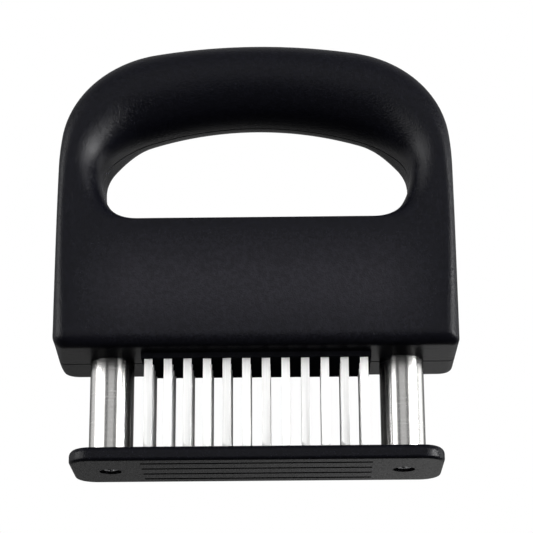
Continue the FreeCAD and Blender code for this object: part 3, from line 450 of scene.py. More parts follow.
@dataclass(frozen=True)
class MouldedPlastic:
    """Injection-moulded plastic with a grained or a smooth mould face.

    Attributes:
        name: name of the material.
        colour: pigment, linear.
        roughness: mean roughness.
        specular: reflection at right angles, 0.5 as plain plastic.
        grains: grains in a metre.
        grain_depth: depth of the grain in metres.
        polish: how much smoother the handled patches are.
        line: line where two shells meet, if there is one.
        painted_sheen: paler band of painted sheen on a broad face, if there is one.
        shades: tone of the dullest and of the brightest grain.
        wander: how far the roughness differs from grain to grain.
    """

    name: str
    colour: Colour
    roughness: float
    specular: float = 0.5
    grains: float = 1500.0
    grain_depth: float = 0.04 * MM
    polish: float = 0.06
    line: PartingLine | None = None
    painted_sheen: PaintedSheenBand | None = None
    shades: tuple[float, float] = (0.80, 1.22)
    wander: float = 0.05

    def material(self) -> bpy.types.Material:
        """Make the finish.

        Returns:
            The material.
        """
        material, graph, shader = new_material(self.name)
        grain = graph.node("ShaderNodeGroup", {"Grains per metre": self.grains},
                           node_tree=Effects.spark_grain()).outputs
        hands = graph.node("ShaderNodeGroup", node_tree=Effects.handling()).outputs["Patch"]
        shade = graph.between(grain["Glint"], *self.shades)
        rough = graph.between(hands, self.roughness, self.roughness - self.polish)
        height = grain["Height"]
        if self.line is not None:
            clear = self.line.clear(graph)
            shade = graph.math("MULTIPLY", shade, graph.between(clear, self.line.tone, 1.0))
            rough = graph.math("ADD", rough, graph.between(clear, self.line.rougher, 0.0))
            height = graph.math("MULTIPLY_ADD", clear, self.line.drop, height)
        tint = graph.tinted(self.colour, shade)
        # Painted sheen: add a paler band to the colour that stands in for soft light across the
        # face.
        if self.painted_sheen is not None:
            feeds = {0: tint, 1: self.painted_sheen.tint(graph, shade)}
            tint = graph.node("ShaderNodeVectorMath", feeds, operation="ADD").outputs[0]
        stray = graph.between(grain["Glint"], -self.wander, self.wander)
        rough = graph.math("ADD", rough, stray)
        feed_surface(graph, shader, tint, rough, height, self.grain_depth)
        shader.inputs["Specular IOR Level"].default_value = self.specular
        return material


@dataclass(frozen=True)
class BrushedMetal:
    """Bright metal with fine parallel lines.

    Attributes:
        name: name of the material.
        colour: reflection at right angles, linear.
        roughness: mean roughness.
        grain: way that the lines run.
        line_depth: depth of the lines in metres.
        spread: how far the roughness wanders from line to line.
        piece_tone: how far the colour differs from piece to piece.
        smear: how much wider the lines spread light across themselves than along.
        smear_turn: way that they spread it, 0 level round the piece and 0.25 upright.
        tones: tone of the darkest and of the lightest line.
        dulling: roughness that handled patches add.
    """

    name: str
    colour: Colour
    roughness: float
    grain: Grain
    line_depth: float = 0.004 * MM
    spread: float = 0.08
    piece_tone: float = 0.0
    smear: float = 0.0
    smear_turn: float = 0.0
    tones: tuple[float, float] = (0.9, 1.04)
    dulling: float = 0.03

    def material(self) -> bpy.types.Material:
        """Make the finish.

        Returns:
            The material.
        """
        material, graph, shader = new_material(self.name)
        lines = graph.node("ShaderNodeGroup", dict(enumerate(self.grain.value)),
                           node_tree=Effects.brush_lines()).outputs
        hands = graph.node("ShaderNodeGroup", node_tree=Effects.handling()).outputs["Patch"]
        tone = graph.between(lines["Tone"], *self.tones)
        if self.piece_tone:
            own = graph.node("ShaderNodeAttribute", attribute_name="tone").outputs["Fac"]
            share = graph.between(own, 1.0 - self.piece_tone, 1.0)
            tone = graph.math("MULTIPLY", tone, share)
        half = self.spread / 2
        rough = graph.between(lines["Tone"], self.roughness - half, self.roughness + half)
        rough = graph.math("MULTIPLY_ADD", hands, self.dulling, rough)
        tint = graph.tinted(self.colour, tone)
        feed_surface(graph, shader, tint, rough, lines["Height"], self.line_depth)
        shader.inputs["Metallic"].default_value = 1.0
        shader.inputs["Anisotropic"].default_value = self.smear
        shader.inputs["Anisotropic Rotation"].default_value = self.smear_turn
        return material


@dataclass(frozen=True)
class PlatedMetal:
    """Metal with a mottled plated or drawn surface.

    Attributes:
        name: name of the material.
        colour: reflection at right angles, linear.
        stain: colour of the duller patches, linear.
        roughness: mean roughness.
        grains: grains of the plating in a metre.
        grain_depth: depth of those grains in metres.
        patches: duller patches in a metre.
        dulling: roughness that those patches add.
    """

    name: str
    colour: Colour
    stain: Colour
    roughness: float
    grains: float = 3000.0
    grain_depth: float = 0.008 * MM
    patches: float = 160.0
    dulling: float = 0.15

    def material(self) -> bpy.types.Material:
        """Make the finish.

        Returns:
            The material.
        """
        material, graph, shader = new_material(self.name)
        grain = graph.node("ShaderNodeGroup", {"Grains per metre": self.grains},
                           node_tree=Effects.spark_grain()).outputs["Height"]
        dull = graph.node("ShaderNodeGroup", {"Patches per metre": self.patches},
                          node_tree=Effects.handling()).outputs["Patch"]
        tint = graph.mix(Mix.COLOUR, dull, (*self.colour, 1.0), (*self.stain, 1.0))
        rough = graph.between(dull, self.roughness, self.roughness + self.dulling)
        feed_surface(graph, shader, tint, rough, grain, self.grain_depth)
        shader.inputs["Metallic"].default_value = 1.0
        return material


def dress(material: bpy.types.Material, *nodes: str) -> None:
    """Give CAD nodes a finish.

    Args:
        material: the finish.
        nodes: names of the nodes.
    """
    for name in nodes:
        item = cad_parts[name]
        for place in item.material_slots:
            place.material = material
        log.info("%s: CAD node, %d faces, %s", name, len(item.data.polygons), material.name)


# --------------------------------------------------------------------------------------
# Rows of equal pieces
# --------------------------------------------------------------------------------------


def row_tree() -> bpy.types.NodeTree:
    """Build the Geometry Nodes tree that sets two patterns out in turns along a line.

    Returns:
        The tree.
    """
    tree = bpy.data.node_groups.new("Row of pieces", "GeometryNodeTree")
    sockets = (
        ("Count", "NodeSocketInt"), ("Start", "NodeSocketVector"),
        ("Step", "NodeSocketVector"), ("Odd piece", "NodeSocketObject"),
        ("Even piece", "NodeSocketObject"), ("Finish", "NodeSocketMaterial"),
        ("Seed", "NodeSocketInt"),
    )
    for label, kind in sockets:
        tree.interface.new_socket(label, in_out="INPUT", socket_type=kind)
    tree.interface.new_socket("Geometry", in_out="OUTPUT", socket_type="NodeSocketGeometry")
    graph = Graph(tree)
    given = graph.node("NodeGroupInput").outputs
    line = graph.node("GeometryNodeMeshLine", {
        "Count": given["Count"], "Start Location": given["Start"], "Offset": given["Step"],
    }, mode="OFFSET").outputs[0]
    index = graph.node("GeometryNodeInputIndex").outputs[0]
    is_even = graph.math("MODULO", index, 2.0)
    is_odd = graph.math("SUBTRACT", 1.0, is_even)
    join = graph.node("GeometryNodeJoinGeometry")
    for label, wanted in (("Odd piece", is_odd), ("Even piece", is_even)):
        piece = graph.node("GeometryNodeObjectInfo", {"Object": given[label]})
        placed = graph.node("GeometryNodeInstanceOnPoints", {
            "Points": line, "Selection": wanted, "Instance": piece.outputs["Geometry"],
        })
        tree.links.new(placed.outputs[0], join.inputs[0])
    tone = graph.node("FunctionNodeRandomValue", {"Seed": given["Seed"]}, data_type="FLOAT")
    kept = graph.node("GeometryNodeStoreNamedAttribute", {
        "Geometry": join.outputs[0], "Name": "tone", "Value": tone.outputs[1],
    }, data_type="FLOAT", domain="INSTANCE")
    solid = graph.node("GeometryNodeRealizeInstances", {0: kept.outputs[0]})
    dressed = graph.node("GeometryNodeSetMaterial", {
        "Geometry": solid.outputs[0], "Material": given["Finish"],
    })
    graph.node("NodeGroupOutput", {"Geometry": dressed.outputs[0]})
    return tree


@dataclass
class PieceRow:
    """A row of equal pieces, or of two mirrored ones in turns, that becomes one mesh.

    Attributes:
        name: name of the finished piece.
        count: pieces in the row.
        start: where the first one stands, in metres.
        step: from one to the next, in metres.
        odd: mesh of the first, third and so on.
        even: mesh of the second, fourth and so on.
        finish: material.
        seed: seed of the tone of each piece.
    """

    name: str
    count: int
    start: Vector
    step: Vector
    odd: bpy.types.Mesh
    even: bpy.types.Mesh
    finish: bpy.types.Material
    seed: int = 1

    def build(self, tree: bpy.types.NodeTree) -> bpy.types.Object:
        """Set the row out and turn it into a plain mesh.

        Args:
            tree: the tree from row_tree.

        Returns:
            The finished object, at the origin.
        """
        scene = bpy.context.scene.collection
        patterns = []
        for mesh in (self.odd, self.even):
            pattern = bpy.data.objects.new(f"{self.name}_pattern", mesh)
            scene.objects.link(pattern)
            patterns.append(pattern)
        item = bpy.data.objects.new(self.name, bpy.data.meshes.new(self.name))
        scene.objects.link(item)
        modifier = item.modifiers.new("row", "NODES")
        modifier.node_group = tree
        values = {
            "Count": self.count, "Start": self.start, "Step": self.step,
            "Odd piece": patterns[0], "Even piece": patterns[1],
            "Finish": self.finish, "Seed": self.seed,
        }
        for socket in tree.interface.items_tree:
            if socket.in_out == "INPUT":
                modifier[socket.identifier] = values[socket.name]
        graph = bpy.context.evaluated_depsgraph_get()
        mesh = bpy.data.meshes.new_from_object(item.evaluated_get(graph))
        item.modifiers.remove(modifier)
        item.data = mesh
        mesh.name = self.name
        for pattern in patterns:
            bpy.data.objects.remove(pattern)
        return item


def mirrored(mesh: bpy.types.Mesh) -> bpy.types.Mesh:
    """Turn a mesh left to right, with its faces still outwards.

    Args:
        mesh: the mesh, which stays as it is.

    Returns:
        The turned copy.
    """
    copy = mesh.copy()
    copy.transform(Matrix.Scale(-1.0, 4, (1.0, 0.0, 0.0)))
    copy.flip_normals()
    return copy


def to_mesh(name: str, work: bmesh.types.BMesh, crease: float) -> bpy.types.Mesh:
    """Finish a bmesh.

    Args:
        name: name of the mesh.
        work: the bmesh, which is freed.
        crease: angle in degrees past which an edge stays sharp.

    Returns:
        The mesh, smooth shaded between its sharp edges.
    """
    bmesh.ops.recalc_face_normals(work, faces=work.faces)
    for edge in work.edges:
        if edge.is_manifold and edge.calc_face_angle(0.0) > math.radians(crease):
            edge.smooth = False
    for face in work.faces:
        face.smooth = True
    mesh = bpy.data.meshes.new(name)
    work.to_mesh(mesh)
    work.free()
    return mesh


# --------------------------------------------------------------------------------------
# Sub-assemblies
# --------------------------------------------------------------------------------------


@dataclass(frozen=True)
class CrossRecess:
    """The cross that a driver fits.

    Attributes:
        reach: half the length of the cross.
        width: half the width of an arm.
        depth: depth at the middle.
        side_slope: width over which the sides of an arm slope.
        end_slope: length over which its end slopes.
        rise: share of the depth that is lost from the middle to the ends.
    """

    reach: float
    width: float
    depth: float
    side_slope: float = 0.12 * MM
    end_slope: float = 0.2 * MM
    rise: float = 0.45

    def sunk(self, u: float, v: float) -> float:
        """Give the depth at a place on the head.

        Args:
            u: distance from the middle along one arm.
            v: distance from the middle along the other arm.

        Returns:
            The depth, 0 outside the cross.
        """
        along, aside = max(abs(u), abs(v)), min(abs(u), abs(v))
        inside = min((self.width - aside) / self.side_slope,
                     (self.reach - along) / self.end_slope)
        share = min(max(inside, 0.0), 1.0)
        return share * self.depth * (1.0 - self.rise * along / self.reach)


@dataclass
class ScrewPattern:
    """A pan-head screw with a cross recess, head at z = 0 to head_height, shank below.

    Attributes:
        head_radius: radius of the head.
        head_height: height of the head.
        shank_radius: outer radius of the thread.
        shank_length: length under the head.
        recess: cross in the head.
        thread_pitch: from crest to crest.
        turn: angle of the cross in degrees.
        dome_drop: share of the head's height that the dome loses at its rim.
        dome_power: how late the dome falls away.
        rim_share: height of the foot of the dome, as a share of the head's height.
        under_break: radius and height of the broken edge under the head.
        lead_in: plain shank above the thread, in pitches.
        run_out: plain shank below the thread, in pitches.
        point_share: radius of the tip, as a share of the thread's core.
        segments: faces round the screw.
        face_rings: rings of faces from the middle of the head to its rim.
        crease: angle in degrees past which an edge stays sharp.
    """

    head_radius: float
    head_height: float
    shank_radius: float
    shank_length: float
    recess: CrossRecess
    thread_pitch: float = 0.7 * MM
    turn: float = 20.0
    dome_drop: float = 0.28
    dome_power: float = 2.6
    rim_share: float = 0.5
    under_break: tuple[float, float] = (0.1 * MM, 0.12 * MM)
    lead_in: float = 0.8
    run_out: float = 1.4
    point_share: float = 0.6
    segments: int = 72
    face_rings: int = 26
    crease: float = 28.0

    def face_height(self, across: float, angle: float) -> float:
        """Give the height of the head's face.

        Args:
            across: distance from the screw's axis.
            angle: way round the axis, in radians.

        Returns:
            The height above the underside of the head.
        """
        share = across / self.head_radius
        dome = self.head_height * (1.0 - self.dome_drop * share ** self.dome_power)
        way = angle - math.radians(self.turn)
        return dome - self.recess.sunk(across * math.cos(way), across * math.sin(way))

    def profile(self) -> list[tuple[float, float]]:
        """Give the outline of the screw below the dome.

        Returns:
            Radius and height of each ring from the head's rim to the tip.
        """
        inwards, upwards = self.under_break
        rings = [(self.head_radius, self.head_height * self.rim_share),
                 (self.head_radius, upwards), (self.head_radius - inwards, 0.0),
                 (self.shank_radius, 0.0)]
        half_pitch = 0.5 * self.thread_pitch
        core = self.shank_radius - half_pitch
        height = -self.lead_in * self.thread_pitch
        while height > -self.shank_length + self.run_out * self.thread_pitch:
            rings.append((core, height))
            rings.append((self.shank_radius, height - half_pitch))
            height -= self.thread_pitch
        rings.append((core, height))
        rings.append((self.point_share * core, -self.shank_length))
        return rings

    def mesh(self, name: str, head_down: bool) -> bpy.types.Mesh:
        """Build the screw.

        Args:
            name: name of the mesh.
            head_down: turns the screw over, so that its head faces down.

        Returns:
            The mesh, with the underside of its head at the origin.
        """
        work = bmesh.new()
        angles = [2.0 * math.pi * k / self.segments for k in range(self.segments)]
        rings = []
        for step in range(1, self.face_rings + 1):
            across = self.head_radius * (step / self.face_rings)
            rings.append([work.verts.new((across * math.cos(a), across * math.sin(a),
                                          self.face_height(across, a))) for a in angles])
        for across, height in self.profile():
            rings.append([work.verts.new((across * math.cos(a), across * math.sin(a), height))
                          for a in angles])
        top = work.verts.new((0.0, 0.0, self.face_height(0.0, 0.0)))
        tip = work.verts.new((0.0, 0.0, -self.shank_length))
        for k in range(self.segments):
            after = (k + 1) % self.segments
            work.faces.new((top, rings[0][k], rings[0][after]))
            work.faces.new((tip, rings[-1][after], rings[-1][k]))
            for inner, outer in zip(rings, rings[1:]):
                work.faces.new((inner[k], outer[k], outer[after], inner[after]))
        if head_down:
            turned = Matrix.Rotation(math.pi, 3, "X")
            bmesh.ops.rotate(work, verts=work.verts, matrix=turned)
        return to_mesh(name, work, self.crease)


@dataclass
class HandleBody:
    """The two moulded shells, their dowels and the spring rods."""

    # The shells' colour carries a painted sheen, a paler band centred at z = 62.5 mm across the
    # middle of both shells.
    shell: MouldedPlastic = MouldedPlastic(
        "Handle plastic", (0.0031, 0.0032, 0.0052), 0.20, specular=0.21, grains=1700.0,
        grain_depth=0.16 * MM, polish=0.02, line=PartingLine(), painted_sheen=PaintedSheenBand(62.5 * MM))
    dowel: PlatedMetal = PlatedMetal(
        "Dowel steel", (0.62, 0.62, 0.64), (0.4, 0.4, 0.41), 0.3)
    rod: MouldedPlastic = MouldedPlastic(
        "Rod acetal", (0.72, 0.70, 0.64), 0.38, grains=2200.0, grain_depth=0.01 * MM)

    def build(self) -> None:
        """Dress the nodes of the handle body."""
        dress(self.shell.material(), "handle_front_shell", "handle_rear_shell")
        dress(self.dowel.material(), "shell_dowels")
        dress(self.rod.material(), "spring_rod_left", "spring_rod_right")


@dataclass
class GuardFoot:
    """The slotted guard plate and the two screws that hold it to the columns.

    Attributes:
        plate: finish of the plate.
        steel: finish of the screws.
        head_height: height of a screw's head.
        shank_radius: outer radius of its thread.
        shank_length: length under its head.
        recess: cross in its head.
    """

    plate: MouldedPlastic = MouldedPlastic(
        "Guard plastic", (0.0028, 0.0029, 0.0046), 0.23, specular=0.20, grains=1900.0,
        grain_depth=0.10 * MM, polish=0.03)
    steel: PlatedMetal = PlatedMetal(
        "Guard screw steel", (0.72, 0.72, 0.74), (0.40, 0.40, 0.41), 0.20)
    head_height: float = 1.9 * MM
    shank_radius: float = 2.0 * MM
    shank_length: float = 8.6 * MM
    recess: CrossRecess = CrossRecess(reach=2.1 * MM, width=0.55 * MM, depth=1.3 * MM)

    def build(self, tree: bpy.types.NodeTree) -> None:
        """Dress the plate and set the screws.

        Args:
            tree: the tree from row_tree.
        """
        dress(self.plate.material(), "guard_plate")
        low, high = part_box("guard_screws")
        radius = (high.y - low.y) / 2
        pattern = ScrewPattern(radius, self.head_height, self.shank_radius,
                               self.shank_length, self.recess)
        mesh = pattern.mesh("guard_screw", head_down=True)
        start = Vector((low.x + radius, (low.y + high.y) / 2, low.z + self.head_height))
        step = Vector((high.x - low.x - 2 * radius, 0.0, 0.0))
        steel = self.steel.material()
        row = PieceRow("guard_screw_heads", 2, start, step, mesh, mesh, steel)
        item = row.build(tree)
        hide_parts("guard_screws")
        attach(item, Body.GUARD.value)
        log.info("%s: 2 screws, %d faces", item.name, len(item.data.polygons))


@dataclass
class ColumnPair:
    """The two tubes with their plugs, bushes, rings and springs.

    Attributes:
        tube: finish of the tubes.
        plug: finish of the foot plugs.
        bush: finish of the stop bushes.
        spring: finish of the springs and the retaining rings.
        stroke: how far the joint presses the springs together; not used.
    """

    tube: BrushedMetal = BrushedMetal(
        "Column steel", (0.84, 0.83, 0.815), 0.25, Grain.ROUND, line_depth=0.0015 * MM,
        spread=0.05, smear=0.65, smear_turn=0.25)
    plug: BrushedMetal = BrushedMetal("Plug aluminium", (0.8, 0.8, 0.81), 0.3, Grain.TURNED)
    bush: MouldedPlastic = MouldedPlastic(
        "Bush nylon", (0.74, 0.72, 0.64), 0.42, grains=1800.0, grain_depth=0.01 * MM)
    spring: PlatedMetal = PlatedMetal(
        "Spring wire", (0.55, 0.54, 0.52), (0.3, 0.29, 0.27), 0.28)
    stroke: float = 30.0 * MM

    def build(self) -> None:
        """Dress the nodes of both columns and set their springs."""
        dress(self.tube.material(), "column_left", "column_right")
        dress(self.plug.material(), "foot_plug_left", "foot_plug_right")
        dress(self.bush.material(), "stop_bush_left", "stop_bush_right")
        dress(self.spring.material(), "retaining_rings")
        for side in ("left", "right"):
            self.set_spring(f"return_spring_{side}")

    def set_spring(self, node: str) -> None:
        """Put a copy of the CAD spring's coil, in the spring finish, in the place of the CAD
        spring.

        Args:
            node: name of the spring's node.
        """
        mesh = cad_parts[node].data.copy()
        mesh.name = f"{node}_coil"
        mesh.materials.clear()
        mesh.materials.append(self.spring.material())
        item = bpy.data.objects.new(f"{node}_coil", mesh)
        bpy.context.scene.collection.objects.link(item)
        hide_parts(node)
        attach(item, Body.GUARD.value)
        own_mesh(item)
        log.info("%s: coil, %d faces", item.name, len(mesh.polygons))


@dataclass
class BladeSet:
    """Four rows of blades in their carrier, with the plate and screws above them.

    Attributes:
        width: blade, left to right.
        pitch: from blade to blade.
        count: blades in a row.
        slant: height of the slanted cutting edge.
        facet: upright height of the ground facet above that edge.
        edge_flat: thickness left at the cutting edge.
        head_width: head of a blade.
        head_height: height of that head.
        edge_break: broken edges of a blade.
        long_edge: least height of an edge that is broken.
        crease: angle in degrees past which an edge stays sharp.
        rows: nodes of the rows, front to rear.
        screw_head: height of a plate screw's head.
        screw_radius: outer radius of its thread.
        screw_pitch: pitch of its thread.
        recess: cross in its head.
        steel: finish of the blades.
        carrier: finish of the carrier.
        plate: finish of the backing plate.
        screw: finish of the plate screws.
    """

    width: float = 2.97 * MM
    pitch: float = 7.03 * MM
    count: int = 12
    slant: float = 3.36 * MM
    facet: float = 3.32 * MM
    edge_flat: float = 0.1 * MM
    head_width: float = 4.6 * MM
    head_height: float = 2.5 * MM
    edge_break: float = 0.09 * MM
    long_edge: float = 20.0 * MM
    crease: float = 24.0
    rows: tuple[str, ...] = ("blade_row_1", "blade_row_2", "blade_row_3", "blade_row_4")
    screw_head: float = 1.8 * MM
    screw_radius: float = 1.5 * MM
    screw_pitch: float = 0.6 * MM
    recess: CrossRecess = CrossRecess(reach=1.6 * MM, width=0.45 * MM, depth=1.1 * MM)
    steel: BrushedMetal = BrushedMetal(
        "Blade steel", (0.86, 0.86, 0.855), 0.70, Grain.UPRIGHT, line_depth=0.003 * MM,
        piece_tone=0.05, smear=0.75)
    carrier: MouldedPlastic = MouldedPlastic(
        "Carrier plastic", (0.0085, 0.0087, 0.0112), 0.45, specular=0.0, grains=2400.0,
        grain_depth=0.008 * MM, polish=0.04)
    plate: PlatedMetal = PlatedMetal(
        "Backing plate zinc", (0.66, 0.67, 0.70), (0.5, 0.5, 0.5), 0.33)
    screw: PlatedMetal = PlatedMetal(
        "Plate screw steel", (0.4, 0.4, 0.42), (0.2, 0.2, 0.2), 0.28)

    def blade_mesh(self, low: Vector, high: Vector) -> bpy.types.Mesh:
        """Build the blade whose tip is on the right.

        Args:
            low: lowest corner of a row's box.
            high: highest corner of that box.

        Returns:
            The mesh, with the middle of the blade on x = 0 and its heights in place.
        """
        half, head = self.width / 2, self.head_width / 2
        front, rear = low.y, high.y
        shoulder = high.z - self.head_height
        tip, heel = low.z, low.z + self.slant
        upper = [(half, shoulder), (head, shoulder), (head, high.z),
                 (-head, high.z), (-head, shoulder), (-half, shoulder)]
        front_line = [(-half, heel + self.facet), (half, tip + self.facet), *upper]
        rear_line = [(-half, heel), (half, tip), *upper]
        work = bmesh.new()
        front_ring = [work.verts.new((x, front, z)) for x, z in front_line]
        rear_ring = [work.verts.new((x, rear, z)) for x, z in rear_line]
        edge_left = work.verts.new((-half, rear - self.edge_flat, heel))
        edge_right = work.verts.new((half, rear - self.edge_flat, tip))
        work.faces.new(front_ring)
        work.faces.new(reversed(rear_ring))
        work.faces.new((front_ring[0], edge_left, edge_right, front_ring[1]))
        work.faces.new((edge_left, rear_ring[0], rear_ring[1], edge_right))
        work.faces.new((front_ring[1], edge_right, rear_ring[1], rear_ring[2], front_ring[2]))
        work.faces.new((front_ring[7], rear_ring[7], rear_ring[0], edge_left, front_ring[0]))
        for k in range(2, 7):
            work.faces.new((front_ring[k], rear_ring[k], rear_ring[k + 1], front_ring[k + 1]))
        bmesh.ops.recalc_face_normals(work, faces=work.faces)
        long_edges = [edge for edge in work.edges
                      if abs(edge.verts[0].co.z - edge.verts[1].co.z) > self.long_edge]
        bmesh.ops.bevel(work, geom=long_edges, offset=self.edge_break, segments=2,
                        affect="EDGES")
        return to_mesh("blade", work, self.crease)

    def build(self, tree: bpy.types.NodeTree) -> None:
        """Set the rows out and dress what holds them.

        Args:
            tree: the tree from row_tree.
        """
        steel = self.steel.material()
        start = Vector((-self.pitch * (self.count - 1) / 2, 0.0, 0.0))
        step = Vector((self.pitch, 0.0, 0.0))
        for number, node in enumerate(self.rows, start=1):
            low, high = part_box(node)
            right_tip = self.blade_mesh(low, high)
            row = PieceRow(f"blades_{number}", self.count, start, step, right_tip,
                           mirrored(right_tip), steel, seed=number)
            item = row.build(tree)
            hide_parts(node)
            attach(item, Body.HANDLE.value)
            log.info("%s: %d blades, %d faces", item.name, self.count,
                     len(item.data.polygons))
        dress(self.carrier.material(), "blade_carrier")
        dress(self.plate.material(), "blade_backing_plate")
        self.set_plate_screws(tree)

    def set_plate_screws(self, tree: bpy.types.NodeTree) -> None:
        """Set the three screws of the backing plate.

        Args:
            tree: the tree from row_tree.
        """
        low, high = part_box("plate_screws")
        radius = (high.y - low.y) / 2
        head = self.screw_head
        pattern = ScrewPattern(radius, head, self.screw_radius, high.z - low.z - head,
                               self.recess, thread_pitch=self.screw_pitch)
        mesh = pattern.mesh("plate_screw", head_down=False)
        start = Vector((low.x + radius, (low.y + high.y) / 2, high.z - head))
        step = Vector(((high.x - low.x) / 2 - radius, 0.0, 0.0))
        row = PieceRow("plate_screw_set", 3, start, step, mesh, mesh, self.screw.material())
        item = row.build(tree)
        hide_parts("plate_screws")
        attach(item, Body.HANDLE.value)
        log.info("%s: 3 screws, %d faces", item.name, len(item.data.polygons))


# --------------------------------------------------------------------------------------
# Studio
# --------------------------------------------------------------------------------------


@dataclass(frozen=True)
class Panel:
    """A soft bright field of the surround that glossy surfaces mirror.

    Attributes:
        azimuth: degrees from the front towards the right.
        elevation: degrees above the horizon.
        width: degrees from side to side.
        height: degrees from foot to top.
        feather: degrees over which the sides and the ends fade.
        level: its brightness, where 1 is white.
    """

    azimuth: float
    elevation: float
    width: float
    height: float
    feather: tuple[float, float]
    level: float

    def glow(self, graph: Graph, turn: Socket, rise: Socket) -> Socket:
        """Give the field's brightness in one direction.

        Args:
            graph: the world's graph.
            turn: azimuth of the direction in degrees.
            rise: elevation of the direction in degrees.

        Returns:
            The socket with the brightness.
        """
        shares = []
        for value, middle, size, fade in (
                (turn, self.azimuth, self.width, self.feather[0]),
                (rise, self.elevation, self.height, self.feather[1])):
            inner, outer = (size - fade) / 2.0, (size + fade) / 2.0
            shares.append(graph.spread(graph.off(value, middle), inner, outer, 1.0, 0.0))
        return graph.math("MULTIPLY", graph.math("MULTIPLY", *shares), self.level)


@dataclass(frozen=True)
class Softbox:
    """A soft lamp that faces the object and lights its matt side only.

    Attributes:
        name: name of the lamp.
        azimuth: degrees from the front towards the right.
        elevation: degrees above the middle of the object.
        distance: from the middle of the object, in metres.
        size: width and height in metres.
        level: brightness of its face, where 1 is white.
        area_power: watts of a square metre of its face at a level of 1.
    """

    name: str
    azimuth: float
    elevation: float
    distance: float
    size: tuple[float, float]
    level: float
    area_power: float = 4.0

    def build(self, target: Vector) -> None:
        """Hang the lamp.

        Args:
            target: the middle of the object.
        """
        light = bpy.data.lights.new(self.name, "AREA")
        light.shape = "RECTANGLE"
        light.size, light.size_y = self.size
        light.energy = self.area_power * self.level * self.size[0] * self.size[1]
        item = bpy.data.objects.new(self.name, light)
        bpy.context.scene.collection.objects.link(item)
        turn, rise = math.radians(self.azimuth), math.radians(self.elevation)
        way = Vector((math.sin(turn) * math.cos(rise), -math.cos(turn) * math.cos(rise),
                      math.sin(rise)))
        item.location = target + self.distance * way
        item.rotation_euler = way.to_track_quat("Z", "Y").to_euler()
        item.visible_camera = False
        item.visible_glossy = False


